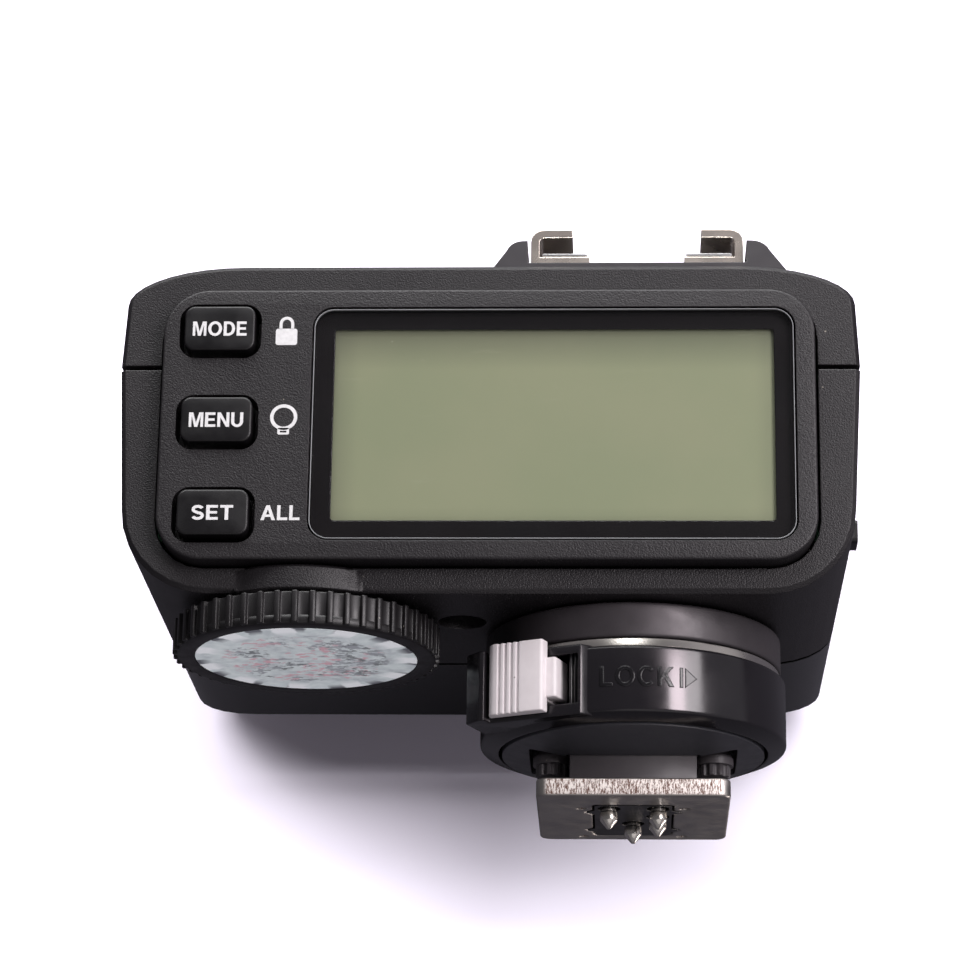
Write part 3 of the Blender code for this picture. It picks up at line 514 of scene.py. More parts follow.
def label_look():
    """Silver foil: pale flame-like facets round the rim and faint tinted scribble inside."""
    look = Look("label_foil", (0.66, 0.71, 0.72), 0.42)
    look.mottle(2.2, (0.48, 0.51, 0.54), 0.9)
    look.mottle(0.9, (0.80, 0.84, 0.84), 0.6)
    place = look.node("ShaderNodeSeparateXYZ")
    look.join(look.where, place.inputs["Vector"])
    dx = look.math("SUBTRACT", place.outputs["X"], DIAL_X * MM)
    dy = look.math("SUBTRACT", place.outputs["Y"], DIAL_Y * MM)
    squares = look.math("ADD", look.math("MULTIPLY", dx, dx), look.math("MULTIPLY", dy, dy))
    radius = look.math("SQRT", squares, 0)
    turn = look.math("ARCTAN2", dy, dx)
    facets = ((0.86, 15, 0.0, (0.13, 0.13, 0.15)), (0.78, 11, 1.3, (0.93, 0.93, 0.95)))
    for share, turns, shift, colour in facets:
        start = LABEL_RADIUS * MM * share
        rim = look.ramp(radius, start, start + 0.0012)
        wave = look.math("SINE", look.math("ADD", look.math("MULTIPLY", turn, turns), shift), 0)
        broken = look.math("ADD", wave, look.math("MULTIPLY", look.noise(1.4, 2), 1.6))
        look.mix_colour(look.math("MULTIPLY", rim, look.ramp(broken, 1.0, 1.35)), colour)
    inside = look.ramp(radius, LABEL_RADIUS * MM * 0.78, LABEL_RADIUS * MM * 0.72)
    for size, colour in ((0.7, (0.66, 0.40, 0.45)), (0.55, (0.20, 0.21, 0.22)), (0.6, (0.34, 0.35, 0.38))):
        marks = look.ramp(look.noise(size, 3, (0.6, 1, 1), 0.6), 0.52, 0.57)
        patches = look.ramp(look.noise(2.2 + size * 2, 1), 0.49, 0.54)
        look.mix_colour(look.math("MULTIPLY", look.math("MULTIPLY", marks, patches), inside), colour)
    look.grain(0.5, 0.01, 0.6)
    return look.done()


def lcd_look():
    """Grey-green, with a painted shade of the bezel that darkens it towards the edges of the window, and fine
    specks and streaks.
    """
    look = Look("lcd_face", (0.256, 0.277, 0.170), 0.55, specular=0.3)
    look.mottle(14.0, (0.236, 0.266, 0.160), 0.8)
    place = look.node("ShaderNodeSeparateXYZ")
    look.join(look.where, place.inputs["Vector"])
    (x0, x1), (z0, z1) = span("lcd_module", "x"), span("lcd_module", "z")
    # painted shade: the bezel's shadow darkens the window's edges, most of all along the top
    for axis, edge, inner, amount in (("X", x0, x0 + 3.0, 0.45), ("X", x1, x1 - 2.4, 0.30),
                                      ("Z", z0, z0 + 2.4, 0.30), ("Z", z1, z1 - 4.2, 0.62)):
        bezel_shade = look.ramp(place.outputs[axis], inner * MM, edge * MM, 0, amount)
        look.mix_colour(bezel_shade, (0.082, 0.088, 0.065))
    look.mix_colour(look.ramp(look.noise(0.5, 5, (0.08, 1, 1), 0.7), 0.62, 0.74, 0, 0.35), (0.29, 0.31, 0.21))
    look.grain(0.1, 0.001, 0.3)
    look.dust(1.5, 0.03, (0.42, 0.43, 0.33), 0.4)
    return look.done()


def glass_look():
    """Clear cover glass: see-through, with a reflection and hairline marks on its outer side only."""
    look = Look("cover_glass", (1, 1, 1), 0.06)
    shine = look.node("ShaderNodeBsdfGlossy")
    shine.inputs["Roughness"].default_value = 0.08
    clear = look.node("ShaderNodeBsdfTransparent")
    fresnel = look.node("ShaderNodeFresnel")
    fresnel.inputs["IOR"].default_value = 1.45
    haze = look.ramp(look.noise(0.5, 6, (0.12, 1, 1), 0.8), 0.70, 0.78, 0, 0.10)
    side = look.node("ShaderNodeNewGeometry")
    front = look.math("SUBTRACT", 1.0, side.outputs["Backfacing"])
    amount = look.math("MULTIPLY", look.math("ADD", fresnel.outputs["Fac"], haze), front)
    blend = look.node("ShaderNodeMixShader")
    look.join(amount, blend.inputs[0])
    look.join(clear.outputs[0], blend.inputs[1])
    look.join(shine.outputs[0], blend.inputs[2])
    output = look.tree.nodes["Material Output"]
    look.join(blend.outputs[0], output.inputs["Surface"])
    return look.material


CASE = case_look()
PANEL = case_look("panel_plastic", 0.07)
KEY = satin_look("key_plastic", (0.0042, 0.0038, 0.0045), 0.32)
DIAL = satin_look("dial_plastic", (0.008, 0.007, 0.0078), 0.34)
GLOSS = gloss_look("gloss_black", (0.008, 0.0075, 0.009), 0.14)
COLLAR = satin_look("collar_plastic", (0.026, 0.024, 0.026), 0.40)
# paler than the case plastic to make up for the weak light under the foot: painted light
NECK_PAINTED_LIGHT = satin_look("neck_plastic_painted_light", (0.075, 0.068, 0.073), 0.40)
DISC = satin_look("disc_plastic", (0.055, 0.055, 0.064), 0.36)
# lighter grey than the case plastic: painted sheen on the shoe's fins
FIN_PAINTED_SHEEN = satin_look("shoe_plastic_painted_sheen", (0.045, 0.042, 0.046), 0.42)
FIELD = satin_look("contact_field", (0.0025, 0.0022, 0.0026), 0.34)
DOOR = door_look()
GREY = grey_look()
NICKEL = metal_look("nickel", (0.66, 0.62, 0.55), 0.26)
PIN = metal_look("pin_nickel", (0.72, 0.69, 0.64), 0.22, edge=0.04)
RAIL = metal_look("rail_nickel", (0.80, 0.72, 0.64), 0.24)
WASHER = metal_look("washer_nickel", (0.82, 0.78, 0.72), 0.24, (1, 1, 5))
# pale grey that stands in for the glint along the glass edge; the lamps light it
GLASS_EDGE_GLINT = plain_look("glass_edge_glint_band", (0.30, 0.31, 0.32), 0.3)
STEEL = metal_look("steel", (0.60, 0.60, 0.60), 0.28, (1, 1, 6))
PLATE = plate_look()
PRINT = print_look()
LABEL = label_look()
LCD = lcd_look()
GLASS = glass_look()
INK = door_look("border_ink", (0.005, 0.004, 0.0045), 0.2)
BOARD = plain_look("board", (0.02, 0.12, 0.05), 0.45)
RUBBER = plain_look("pad_rubber", (0.35, 0.35, 0.35), 0.7)
MILKY = plain_look("milky", (0.7, 0.7, 0.68), 0.4)
RED = satin_look("red_plastic", (0.20, 0.008, 0.010), 0.3)
WINDOW = gloss_look("lamp_window", (0.05, 0.002, 0.003), 0.1)
CELL = plain_look("cell_jacket", (0.03, 0.03, 0.035), 0.3, 0.2)


# ---------------------------------------------------------------- case, panel and display

SEAM_OPENING = 0.09        # how far each half of the case draws back from the parting line
SEAM_REACH = 0.35          # vertices this near the parting line belong to it
PANEL_CORNER = 4.5
GLASS_CORNER = 1.9
GLASS_GAP = 0.2
KEY_HOLE_HALF = (4.0, 2.8)
KEY_HOLE_CORNER = 1.7


def build_case():
    """The case and door as the CAD has them, with the parting line opened a little."""
    seam = span("upper_case", "z")[0]
    for node, by in (("upper_case", SEAM_OPENING), ("lower_case", -SEAM_OPENING)):
        shell = fine_copy(node)
        for vertex in shell.data.vertices:
            if abs(vertex.co.z / MM - seam) < SEAM_REACH:
                vertex.co.z += by * MM
        stand_in(shell, CASE, node)
    stand_in(fine_copy("battery_door"), DOOR, "battery_door")


def build_panel():
    panel = prism("front_panel.shell", rounded(*PANEL_X, *PANEL_Z, PANEL_CORNER, 16), PANEL_FACE, PANEL_BACK,
                  "XZ", edge=0.28, rounds=4)
    holes = [rounded(GLASS_X[0] - GLASS_GAP, GLASS_X[1] + GLASS_GAP, GLASS_Z[0] - GLASS_GAP,
                     GLASS_Z[1] + GLASS_GAP, 2.1)]
    wide, high = KEY_HOLE_HALF
    for node in KEYS:
        x, z = middle(node, "x"), middle(node, "z")
        holes.append(rounded(x - wide, x + wide, z - high, z + high, KEY_HOLE_CORNER))
    tools = [prism(f"panel_hole_{index}", hole, PANEL_FACE - 1, PANEL_BACK + 1, "XZ")
             for index, hole in enumerate(holes)]
    cut(panel, *tools)
    stand_in(smooth(panel), PANEL, "front_panel")


def build_display():
    (x0, x1), (z0, z1), rim = GLASS_X, GLASS_Z, 0.08
    inner = rounded(x0 + rim, x1 - rim, z0 + rim, z1 - rim, GLASS_CORNER - rim)
    glass = prism("lcd_glass.pane", inner, GLASS_FACE, GLASS_BACK, "XZ")
    stand_in(smooth(glass), GLASS, "lcd_glass")
    # a pale band round the glass, a painted glint along its edge
    edge = prism("lcd_glass.edge", rounded(x0, x1, z0, z1, GLASS_CORNER), GLASS_FACE,
                 GLASS_FACE + 0.3, "XZ", holes=[inner], edge=0.035, rounds=2)
    dress(smooth(edge), GLASS_EDGE_GLINT, BODY_OF["lcd_glass"])
    window = rounded(x0 + 2.0, x1 - 1.88, z0 + 2.1, z1 - 1.8, 0.3, 4)
    border = prism("display_border", rounded(*GLASS_X, *GLASS_Z, GLASS_CORNER), GLASS_BACK + 0.01,
                   GLASS_BACK + 0.06, "XZ", holes=[window])
    dress(border, INK, BODY_OF["lcd_glass"])
    face = prism("lcd_module.face", rounded(*span("lcd_module", "x"), *span("lcd_module", "z"), 0.5, 3),
                 *span("lcd_module", "y"), "XZ", edge=0.05, rounds=1)
    stand_in(face, LCD, "lcd_module")


# ---------------------------------------------------------------- keys and legends

STEM = 0.21                # a letter's stroke, as a share of the capital height
ICON_X = -33.65            # the icons stand in one column beside the keys


def band(centre, outer, inner, start, end, steps=16):
    """A curved stroke between two ellipses."""
    return arc(centre, outer, start, end, steps) + arc(centre, inner, end, start, steps)


def glyph(letter):
    """Width, outlines and holes of a bold sans capital, one unit high."""
    t = STEM
    bar = 0.18
    if letter == "E":
        return 0.70, [[(0, 0), (0.70, 0), (0.70, bar), (t, bar), (t, 0.42), (0.64, 0.42), (0.64, 0.59),
                       (t, 0.59), (t, 1 - bar), (0.68, 1 - bar), (0.68, 1), (0, 1)]], []
    if letter == "L":
        return 0.66, [[(0, 0), (0.66, 0), (0.66, bar), (t, bar), (t, 1), (0, 1)]], []
    if letter == "T":
        return 0.76, [[(0.38 - t / 2, 0), (0.38 + t / 2, 0), (0.38 + t / 2, 1 - bar), (0.76, 1 - bar),
                       (0.76, 1), (0, 1), (0, 1 - bar), (0.38 - t / 2, 1 - bar)]], []
    if letter == "N":
        return 0.80, [[(0, 0), (0.20, 0), (0.20, 0.66), (0.59, 0), (0.80, 0), (0.80, 1), (0.60, 1),
                       (0.60, 0.34), (0.21, 1), (0, 1)]], []
    if letter == "M":
        return 0.96, [[(0, 0), (0.18, 0), (0.18, 0.78), (0.38, 0), (0.58, 0), (0.78, 0.78), (0.78, 0),
                       (0.96, 0), (0.96, 1), (0.68, 1), (0.48, 0.28), (0.28, 1), (0, 1)]], []
    if letter == "A":
        outer = [(0, 0), (0.22, 0), (0.30, 0.22), (0.64, 0.22), (0.72, 0), (0.94, 0), (0.58, 1), (0.36, 1)]
        return 0.94, [outer], [[(0.355, 0.38), (0.585, 0.38), (0.47, 0.74)]]
    if letter == "K":
        return 0.84, [[(0, 0), (t, 0), (t, 0.34), (0.33, 0.47), (0.58, 0), (0.84, 0), (0.48, 0.63), (0.82, 1),
                       (0.56, 1), (t, 0.61), (t, 1), (0, 1)]], []
    if letter == "O":
        middle_point = (0.49, 0.5)
        outer = arc(middle_point, (0.49, 0.515), 0, 350, 35)
        return 0.98, [outer], [arc(middle_point, (0.27, 0.335), 0, 350, 35)]
    if letter == "D":
        outer = [(0, 0)] + arc((0.34, 0.5), (0.46, 0.5), -90, 90, 16) + [(0, 1)]
        inner = [(t, bar)] + arc((0.34, 0.5), (0.245, 0.32), -90, 90, 16) + [(t, 1 - bar)]
        return 0.80, [outer], [inner]
    if letter == "U":
        outer = [(0, 1)] + arc((0.40, 0.38), (0.40, 0.395), 180, 360, 16) + [(0.80, 1), (0.80 - t, 1)]
        inner = arc((0.40, 0.38), (0.40 - t, 0.215), 360, 180, 16) + [(t, 1)]
        return 0.80, [outer + inner], []
    if letter == "C":
        return 0.90, [band((0.47, 0.5), (0.47, 0.515), (0.25, 0.335), 42, 318, 26)], []
    if letter == "B":
        lower = arc((0.44, 0.275), (0.32, 0.275), -90, 90, 10)
        upper = arc((0.40, 0.765), (0.30, 0.235), -90, 90, 10)
        outer = [(0, 0)] + lower[:-1] + upper + [(0, 1)]
        low_hole = [(t, 0.16)] + arc((0.42, 0.29), (0.13, 0.13), -90, 90, 8) + [(t, 0.42)]
        top_hole = [(t, 0.58)] + arc((0.39, 0.71), (0.11, 0.13), -90, 90, 8) + [(t, 0.84)]
        return 0.76, [outer], [low_hole, top_hole]
    # The letter S: a stroke of even width along a spine of two bows.
    spine = arc((0.38, 0.715), (0.27, 0.195), 20, 270, 18)[:-1]
    spine += arc((0.38, 0.285), (0.28, 0.195), 90, -160, 18)
    left, right = [], []
    for k, point in enumerate(spine):
        before = Vector(spine[max(k - 1, 0)])
        after = Vector(spine[min(k + 1, len(spine) - 1)])
        across = (after - before).normalized().yx * Vector((-1, 1)) * 0.095
        left.append(tuple(Vector(point) + across))
        right.append(tuple(Vector(point) - across))
    return 0.76, [left + right[::-1]], []


def lettering(name, words, box, place, look, body, thick=0.02):
    """Generic bold capitals fitted into the box (x0, x1, y0, y1); place(x, y, up) sets them on a surface."""
    x0, x1, y0, y1 = box
    widths = [glyph(letter)[0] for letter in words]
    room = 0.12
    scale = (x1 - x0) / (sum(widths) + room * (len(words) - 1))
    outlines = []
    at = x0
    for letter, wide in zip(words, widths):
        for outline in sum(glyph(letter)[1:], []):
            outlines.append([(at + x * scale, y0 + y * (y1 - y0)) for x, y in outline])
        at += (wide + room) * scale
    item = prism(name, outlines[0], 0, thick, holes=outlines[1:])
    for vertex in item.data.vertices:
        x, y, up = vertex.co / MM
        vertex.co = Vector(place(x, y, up)) * MM
    return dress(item, look, body)


def on_rear(face_y):
    """Puts lettering on a face that looks to -Y."""
    return lambda x, z, up: (x, face_y - up, z)


def on_top(face_z):
    """Puts lettering on a face that looks up, read from behind the display side."""
    return lambda x, y, up: (x, y, face_z + up)


def build_keys():
    for node in KEYS:
        (x0, x1), (z0, z1) = span(node, "x"), span(node, "z")
        outline = rounded(x0 - 0.05, x1 + 0.05, z0, z1 + 0.18, 0.95, 8)
        key = prism(node + ".cap", outline, *span(node, "y"), "XZ", edge=0.2, rounds=3)
        stand_in(smooth(key, 60), KEY, node)
    words = {"mode_button": ("MODE", 5.25), "menu_button": ("MENU", 5.25), "set_button": ("SET", 4.0)}
    for node, (word, wide) in words.items():
        x, z = middle(node, "x"), middle(node, "z")
        box = (x - wide / 2, x + wide / 2, z - 0.74, z + 0.74)
        lettering(node + ".legend", word, box, on_rear(KEY_FACE), PRINT, BODY_OF[node])


def flat_piece(name, outline, face_y, holes=(), thick=0.02):
    return prism(name, outline, face_y - thick, face_y, "XZ", holes=holes)


def build_panel_icons():
    body = BODY_OF["front_panel"]
    x, z = ICON_X, middle("mode_button", "z")
    block = rounded(x - 1.05, x + 1.05, z - 1.45, z + 0.25, 0.25, 4)
    dress(flat_piece("lock_icon.body", block, PANEL_FACE), PRINT, body)
    shackle = arc((x, z + 0.75), (0.72, 0.75), 180, 0, 12)
    inner = arc((x, z + 0.75), (0.42, 0.45), 0, 180, 12)
    outline = [(x - 0.72, z + 0.2)] + shackle + [(x + 0.72, z + 0.2), (x + 0.42, z + 0.2)] + inner
    outline.append((x - 0.42, z + 0.2))
    dress(flat_piece("lock_icon.shackle", outline, PANEL_FACE), PRINT, body)

    z = middle("menu_button", "z") + 0.1
    bulb = flat_piece("bulb_icon.glass", circle((x, z + 0.4), 1.32), PANEL_FACE, [circle((x, z + 0.4), 0.98)])
    dress(bulb, PRINT, body)
    window = rounded(x - 0.32, x + 0.32, z - 1.18, z - 0.98, 0.05, 2)
    base = rounded(x - 0.57, x + 0.57, z - 1.38, z - 0.7, 0.16, 3)
    dress(flat_piece("bulb_icon.base", base, PANEL_FACE, [window]), PRINT, body)

    z = middle("set_button", "z")
    lettering("all_legend", "ALL", (-35.55, -31.8, z - 0.55, z + 0.95), on_rear(PANEL_FACE), PRINT, body)


# ---------------------------------------------------------------- select dial

DIAL_RIBS = 48
DIAL_TOP = 17.3
RIB_DEPTH = 0.45
RIB_HALF = 0.15            # half of a rib's crest, as a share of the pitch


def dial_outline():
    """Thin rounded ribs with wide flat pockets between them."""
    crest, shoulder = DIAL_RADIUS, DIAL_RADIUS - 0.05
    slope, pocket = DIAL_RADIUS - RIB_DEPTH * 0.9, DIAL_RADIUS - RIB_DEPTH
    one_rib = ((-RIB_HALF, shoulder), (-RIB_HALF / 2, crest), (RIB_HALF / 2, crest), (RIB_HALF, shoulder),
               (RIB_HALF + 0.04, slope), (RIB_HALF + 0.08, pocket), (0.5, pocket),
               (0.92 - RIB_HALF, pocket), (0.96 - RIB_HALF, slope))
    points = []
    for i in range(DIAL_RIBS):
        for share, r in one_rib:
            angle = math.tau * (i + share) / DIAL_RIBS
            points.append((DIAL_X + r * math.cos(angle), DIAL_Y + r * math.sin(angle)))
    return points


def build_dial():
    low = span("select_dial", "z")[0]
    ribs = prism("select_dial.ribs", dial_outline(), low + 0.08, DIAL_TOP, edge=0.08, rounds=2)
    cut(ribs, prism("label_clearance", circle((DIAL_X, DIAL_Y), LABEL_RADIUS + 0.3, 96), 0, low + 1.0))
    stand_in(smooth(ribs, 40), DIAL, "select_dial")
    rim = DIAL_RADIUS - RIB_DEPTH + 0.02
    profile = [(0, low + 0.95), (rim - 0.1, low + 0.95), (rim, low + 0.85), (rim, low + 0.16),
               (rim - 0.16, low), (LABEL_RADIUS + 0.2, low), (LABEL_RADIUS + 0.08, low + 0.06),
               (LABEL_RADIUS + 0.04, low + 0.3), (0, low + 0.3)]
    plinth = smooth(turned("select_dial.rim", profile, (DIAL_X, DIAL_Y)), 50)
    dress(plinth, DIAL, "dial")
    label_low = span("dial_label", "z")[0]
    edge = LABEL_RADIUS - 0.05
    profile = [(0, label_low + 0.2), (edge, label_low + 0.2), (LABEL_RADIUS, label_low + 0.04),
               (edge, label_low), (0, label_low)]
    label = turned("dial_label.foil", profile, (DIAL_X, DIAL_Y))
    return stand_in(smooth(label), LABEL, "dial_label")


# ---------------------------------------------------------------- foot

HOUSING_TURN = math.radians(-23.5)
COLLAR_BORE = 10.2
WASHER_BORE = 10.3
RING_TOP = 13.25
LIP_RADIUS = 13.2          # inside of the ring's lower lip
SLOT_Z = (7.7, 12.6)       # the slot the release button's tongue runs in
CAP_Z = (6.95, 13.95)
RELIEF = 0.12              # height of the raised word and arrow


def housing_points(points):
    """Points turned from the thumb housing's own axes to the foot's."""
    cos, sin = math.cos(HOUSING_TURN), math.sin(HOUSING_TURN)
    return [(x * cos - y * sin, x * sin + y * cos) for x, y in points]


def build_collar_and_washer():
    low, top = span("foot_collar", "z")
    radius = span("foot_collar", "x")[1]
    profile = softened([(radius, top), (radius, low), (COLLAR_BORE, low), (COLLAR_BORE, top)], 0.35)
    collar = turned("foot_collar.shell", profile, ring=True)
    stand_in(smooth(collar), COLLAR, "foot_collar")
    low, top = span("friction_washer", "z")
    radius = span("friction_washer", "x")[1]
    profile = [(radius, top + 0.08), (radius, low - 0.08), (WASHER_BORE, low), (WASHER_BORE, top)]
    washer = turned("friction_washer.band", softened(profile, 0.04), ring=True)
    return collar, stand_in(smooth(washer), WASHER, "friction_washer")


def build_lock_ring():
    profile = softened([(RING_RADIUS, RING_TOP), (RING_RADIUS, 6.85), (LIP_RADIUS, RING_LOW),
                        (LIP_RADIUS, 8.6), (10.5, 8.6), (10.5, RING_TOP)], 0.3)
    ring = turned("lock_ring.shell", profile, ring=True, steps=192)
    slot = [(1.05, -19), (1.05, -12.7), (-8.2, -12.7), (-8.2, -19)]
    cut(ring, prism("slot_a", housing_points(slot), *SLOT_Z))
    pieces = [stand_in(smooth(ring), GLOSS, "lock_ring")]
    block = [(2.1, -14.4), (1.3, -15.6), (-8.2, -15.6), (-8.2, -16.9), (-8.75, -16.9), (-10.5, -16.0),
             (-10.5, -12.0), (-6.0, -12.0), (2.0, -14.0)]
    housing = prism("thumb_housing", housing_points(softened(block, 0.12, 2)), 6.6, 13.45, edge=0.1, rounds=2)
    cut(housing, prism("slot_b", housing_points(slot), *SLOT_Z))
    pieces.append(dress(smooth(housing), GLOSS, "lock_ring"))
    for index, x in enumerate((0.15, 0.62)):
        rib = [(x - 0.12, -15.3), (x + 0.12, -15.3), (x + 0.12, -12.6), (x - 0.12, -12.6)]
        bar = prism(f"thumb_housing.rib_{index}", housing_points(rib), 7.5, 12.8, edge=0.04, rounds=1)
        dress(bar, GLOSS, "lock_ring")
    return pieces


def build_lock_button():
    face, back = -17.1, -15.9
    points = [(-2.0, back), (-7.9, back)]
    points += arc((-6.9, face + 1.0), (1.0, 1.0), 180, 270, 8)[:-1]
    for i in range(4):
        points += arc((-6.55 + 0.65 * i, face), (0.17, 0.24), 180, 0, 6)
    points += arc((-2.3, face + 0.3), (0.3, 0.3), 270, 360, 4)
    cap = prism("lock_button.cap", housing_points(points), *CAP_Z, edge=0.12, rounds=3)
    stand_in(smooth(cap, 40), GREY, "lock_button")
    tongue = rounded(-3.0, -1.0, -16.2, -13.2, 0.3, 4)
    stem = prism("lock_button.tongue", housing_points(tongue), 8.4, 12.3, edge=0.15, rounds=3)
    dress(smooth(stem), GREY, "lock_button")
    root = [(-2.2, -16.4), (-7.0, -16.4), (-7.0, -13.2), (-2.2, -13.2)]
    base = prism("lock_button.stem", housing_points(root), 8.2, 12.1, edge=0.1, rounds=1)
    dress(smooth(base), GREY, "lock_button")


def ring_lettering():
    """A generic function word and arrow, raised a little on the back of the ring."""
    def on_ring(x, z, up):
        angle = x / RING_RADIUS - math.pi / 2
        out = RING_RADIUS - 0.05 + up
        return out * math.cos(angle), out * math.sin(angle), z

    low, high = 9.25, 11.2
    lettering("lock_ring.word", "LOCK", (-3.2, 3.9, low, high), on_ring, GLOSS, "lock_ring", RELIEF)
    arrow = prism("lock_ring.arrow", [(5.0, low), (6.2, (low + high) / 2), (5.0, high)], 0, RELIEF)
    stop = prism("lock_ring.arrow_tail", [(4.45, low), (4.78, low), (4.78, high), (4.45, high)], 0, RELIEF)
    for item in (arrow, stop):
        for vertex in item.data.vertices:
            x, z, up = vertex.co / MM
            vertex.co = Vector(on_ring(x, z, up)) * MM
        dress(item, GLOSS, "lock_ring")


def build_clamp_and_neck():
    for node, look in (("clamp_disc", DISC), ("foot_neck", NECK_PAINTED_LIGHT)):
        stand_in(fine_copy(node), look, node)


def insert_outline(by):
    """The contact insert's outline with its four ears, grown by a clearance."""
    half = 3.75 + by
    ear = 4.5 + by
    back, front = -5.1 - by, 7.8 + by
    right = [(half - 0.4, back), (half, back + 0.4)]
    for y in (-2.1, 5.6):
        right += [(half, y - 0.8 - by), (ear, y - 0.15), (ear, y + 0.15), (half, y + 0.8 + by)]
    right += [(half, front - 0.4), (half - 0.4, front)]
    return right + [(-x, y) for x, y in reversed(right)]


def build_foot_plate():
    plate = prism("foot_plate.sheet", rounded(*PLATE_X, *PLATE_Y, 1.2), 0, PLATE_TOP,
                  holes=[insert_outline(0.2)], edge=0.22)
    dimples = []
    for index, (x, y) in enumerate(((-5.0, -3.5), (5.0, -3.5), (-4.9, 8.5), (4.9, 8.5))):
        dimple = [(0, 0.7), (0.42, 0.7), (0.5, 0.1), (0.72, 0), (0.76, -0.4), (0, -0.4)]
        dimples.append(turned(f"dimple_{index}", dimple, (x, y), 32))
    cut(plate, *dimples)
    insert = stand_in(fine_copy("contact_insert"), FIELD, "contact_insert")
    return stand_in(smooth(plate), PLATE, "foot_plate"), insert


def build_contact_pins():
    pins = []
    for node in sorted(n for n in frame["nodes"] if n.startswith("contact_pin")):
        centre = (middle(node, "x"), middle(node, "y"))
        profile = [(0, 4.2), (0.95, 4.2), (0.95, 3.3), (0.72, 3.3), (0.72, -0.3), (0.84, -0.38),
                   (0.86, -0.45), (0.86, -1.16), (0.83, -1.22), (0.22, -1.95), (0.12, -2.0), (0, -2.0)]
        pins.append(stand_in(smooth(turned(node + ".pin", profile, centre, 40), 32), PIN, node))
    return pins


# ---------------------------------------------------------------- everything carried over from the frame

CARRIED = {
    "battery_tray": RUBBER, "key_pad": RUBBER, "lcd_backlight": MILKY, "control_board": BOARD,
    "main_board": BOARD, "radio_module": STEEL, "dial_encoder": STEEL, "shoe_spring_plate": STEEL,
    "shoe_contact_left": NICKEL, "shoe_contact_right": NICKEL, "shoe_contact_side": NICKEL,
    "shoe_contact_centre": NICKEL, "battery_rear": CELL, "battery_front": CELL, "cell_spring_rear": NICKEL,
    "cell_spring_front": NICKEL, "contact_plate_left": NICKEL, "contact_plate_right": NICKEL,
    "assist_led": RED,
}
SHOWN = {
    "shoe_rail": RAIL, "shoe_surround": FIN_PAINTED_SHEEN, "shoe_contact_block": KEY, "test_button": RED,
    "group_button_a": KEY, "group_button_b": KEY, "group_button_c": KEY, "group_button_d": KEY,
    "group_button_e": KEY, "status_light": MILKY, "power_switch": KEY, "assist_switch": KEY,
    "data_socket": STEEL, "sync_jack": KEY, "assist_lamp_window": WINDOW, "case_screw": STEEL,
}


def dress_the_rest():
    for node, look in CARRIED.items():
        data = frame["nodes"][node].data
        data.materials.clear()
        data.materials.append(look)
    shown = {node: stand_in(fine_copy(node), look, node) for node, look in SHOWN.items()}
    for letter in "abcde":
        node = "group_button_" + letter
        x, y, top = middle(node, "x"), middle(node, "y"), span(node, "z")[1]
        box = (x - 0.7, x + 0.7, y - 0.85, y + 0.85)
        lettering(node + ".letter", letter.upper(), box, on_top(top), PRINT, BODY_OF[node])
    x, y = middle("test_button", "x"), middle("test_button", "y")
    box = (x - 2.2, x + 2.2, y - 5.7, y - 4.4)
    roof = span("upper_case", "z")[1]
    lettering("test_legend", "TEST", box, on_top(roof), PRINT, BODY_OF["upper_case"])
    return shown["shoe_rail"]


# ---------------------------------------------------------------- stage, light and camera

FLOOR_SIZE = 3.0
HEART = (-0.014, 0.0, 0.03)            # where the broad lamps aim
WORLD_BASE = 0.12
CAMERA_LENS = 122.5
CAMERA_PLACE = (-0.00086, -0.31645, -0.07337)
CAMERA_TURN = (108.79, -0.77, 2.29)    # degrees


def build_stage():
    """A pale plain surface that the trigger's front rests on, clear when seen from its back.

    Only the camera sees it pale. Reflections and bounced light meet a dark floor, so the strong wash of
    light on it does not fill the trigger's underside.
    """
    bpy.ops.mesh.primitive_plane_add(size=FLOOR_SIZE, location=(0, (CAD_BOX[1].y + 0.0005), 0),
                                     rotation=(math.radians(90), 0, 0))
    floor = bpy.context.object
    floor.name = "pale_floor"
    material = bpy.data.materials.new("pale_floor")
    material.use_nodes = True
    tree = material.node_tree
    shader = tree.nodes.new("ShaderNodeBsdfDiffuse")
    shader.inputs["Color"].default_value = (0.92, 0.86, 0.98, 1)
    clear = tree.nodes.new("ShaderNodeBsdfTransparent")
    geometry = tree.nodes.new("ShaderNodeNewGeometry")
    blend = tree.nodes.new("ShaderNodeMixShader")
    tree.links.new(geometry.outputs["Backfacing"], blend.inputs[0])
    dim = tree.nodes.new("ShaderNodeBsdfDiffuse")
    dim.inputs["Color"].default_value = (0.045, 0.042, 0.05, 1)
    path = tree.nodes.new("ShaderNodeLightPath")
    choice = tree.nodes.new("ShaderNodeMixShader")
    tree.links.new(path.outputs["Is Camera Ray"], choice.inputs[0])
    tree.links.new(dim.outputs[0], choice.inputs[1])
    tree.links.new(shader.outputs[0], choice.inputs[2])
    tree.links.new(choice.outputs[0], blend.inputs[1])
    tree.links.new(clear.outputs[0], blend.inputs[2])
    tree.links.new(blend.outputs[0], tree.nodes["Material Output"].inputs["Surface"])
    floor.data.materials.append(material)
    return floor


def light_group(name, items, state):
    """A light-linking group that takes only the items in, or leaves only them out."""
    group = bpy.data.collections.new(name)
    for item in items:
        group.objects.link(item)
    for member in group.collection_objects:
        member.light_linking.link_state = state
    return group


def area_light(name, place, aim, size, power, colour=(1, 1, 1), size_y=None, group=None):
    data = bpy.data.lights.new(name, "AREA")
    data.energy = power
    data.color = colour
    data.shape = "RECTANGLE"
    data.size = size
    data.size_y = size_y or size
    item = link(name, data)
    item.location = place
    item.rotation_euler = (Vector(aim) - Vector(place)).to_track_quat("-Z", "Y").to_euler()
    item.light_linking.receiver_collection = group
    item.visible_camera = False
    return item


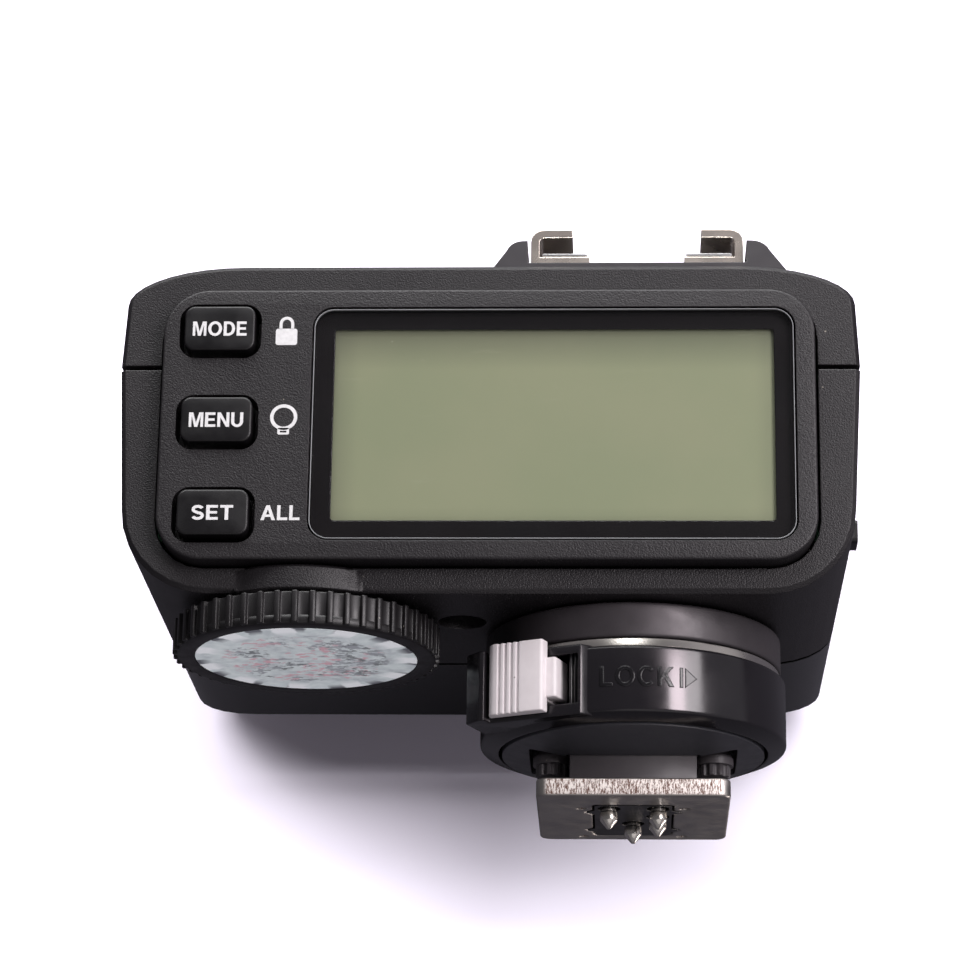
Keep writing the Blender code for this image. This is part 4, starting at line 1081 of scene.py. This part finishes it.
def build_light(floor, washer, rail, ring, plate, contacts, label):
    """Soft light from above and from the right, dim in front, with a white backdrop for the camera.

    Every lamp is linked to a group of pieces. The broad ones leave out the floor and the washer, and each
    card lights only the pieces in its own group, which real lamps could not do.
    """
    world = bpy.data.worlds.new("studio")
    bpy.context.scene.world = world
    world.use_nodes = True
    tree = world.node_tree
    background = tree.nodes["Background"]
    where = tree.nodes.new("ShaderNodeTexCoord")
    parts = tree.nodes.new("ShaderNodeSeparateXYZ")
    tree.links.new(where.outputs["Generated"], parts.inputs["Vector"])
    strength = None
    for axis, low, high, gain in (("Z", 0.35, 1.0, 0.60), ("Z", -0.35, -1.0, 0.10), ("X", 0.3, 1.0, 0.30)):
        ramp = tree.nodes.new("ShaderNodeMapRange")
        ramp.inputs["From Min"].default_value = low
        ramp.inputs["From Max"].default_value = high
        ramp.inputs["To Max"].default_value = gain
        tree.links.new(parts.outputs[axis], ramp.inputs["Value"])
        total = tree.nodes.new("ShaderNodeMath")
        tree.links.new(ramp.outputs["Result"], total.inputs[0])
        if strength:
            tree.links.new(strength, total.inputs[1])
        else:
            total.inputs[1].default_value = WORLD_BASE
        strength = total.outputs["Value"]
    background.inputs["Color"].default_value = (0.97, 0.93, 1.0, 1)
    tree.links.new(strength, background.inputs["Strength"])
    seen = tree.nodes.new("ShaderNodeBackground")
    seen.inputs["Color"].default_value = (1, 1, 1, 1)
    path = tree.nodes.new("ShaderNodeLightPath")
    blend = tree.nodes.new("ShaderNodeMixShader")
    tree.links.new(path.outputs["Is Camera Ray"], blend.inputs[0])
    tree.links.new(background.outputs[0], blend.inputs[1])
    tree.links.new(seen.outputs[0], blend.inputs[2])
    tree.links.new(blend.outputs[0], tree.nodes["World Output"].inputs["Surface"])
    others = light_group("all_but_floor", [floor, washer], "EXCLUDE")
    area_light("key_softbox", (0.30, -0.38, 0.10), HEART, 0.22, 2.0, (1.0, 0.94, 0.97), 0.30, others)
    area_light("top_softbox", (-0.05, -0.15, 0.60), HEART, 0.6, 6.0, group=others)
    area_light("low_fill", (0.12, -0.40, -0.42), HEART, 0.5, 0.4, (1.0, 0.95, 0.95), group=others)
    area_light("washer_card", (-0.03, -0.60, 0.25), (0, -0.01, 0.01), 0.15, 0.55, size_y=0.22,
               group=light_group("bands_alone", [washer, plate], "INCLUDE"))
    area_light("rail_card", (0.0, -0.50, -0.10), (0, 0, 0.055), 0.30, 2.4, size_y=0.08,
               group=light_group("rail_alone", [rail], "INCLUDE"))
    area_light("ring_strip", (0.255, -0.40, 0.08), HEART, 0.09, 1.0, (1.0, 0.78, 0.88), 0.30,
               group=light_group("ring_alone", ring, "INCLUDE"))
    area_light("plate_card", (0.07, 0.05, -0.05), (0, 0, 0), 0.05, 0.05, (1.0, 0.90, 0.86),
               group=light_group("plate_alone", [plate, *contacts], "INCLUDE"))
    area_light("label_card", (-0.06, -0.25, -0.40), (-0.03, 0, 0.014), 0.25, 1.3, (0.95, 0.97, 1.0),
               group=light_group("label_alone", [label], "INCLUDE"))
    area_light("floor_wash", (0.05, -0.935, 0.125), (0, 0.05, 0), 1.0, 27.0, size_y=0.32,
               group=light_group("floor_alone", [floor], "INCLUDE"))


def build_camera():
    """Behind and below the trigger, looking up at the display face and the underside."""
    data = bpy.data.cameras.new("camera")
    data.sensor_width = 36.0
    data.lens = CAMERA_LENS
    data.clip_start = 0.01
    data.clip_end = 20.0
    camera = link("camera", data)
    camera.location = CAMERA_PLACE
    camera.rotation_euler = [math.radians(angle) for angle in CAMERA_TURN]
    bpy.context.scene.camera = camera
    view = bpy.context.scene.view_settings
    view.view_transform = "Standard"
    view.look = "None"


build_case()
build_panel()
build_display()
build_keys()
build_panel_icons()
label = build_dial()
collar, washer = build_collar_and_washer()
ring_pieces = build_lock_ring()
build_lock_button()
ring_lettering()
build_clamp_and_neck()
plate, insert = build_foot_plate()
pins = build_contact_pins()
rail = dress_the_rest()
build_light(build_stage(), washer, rail, ring_pieces + [collar], plate, [insert, *pins], label)
build_camera()
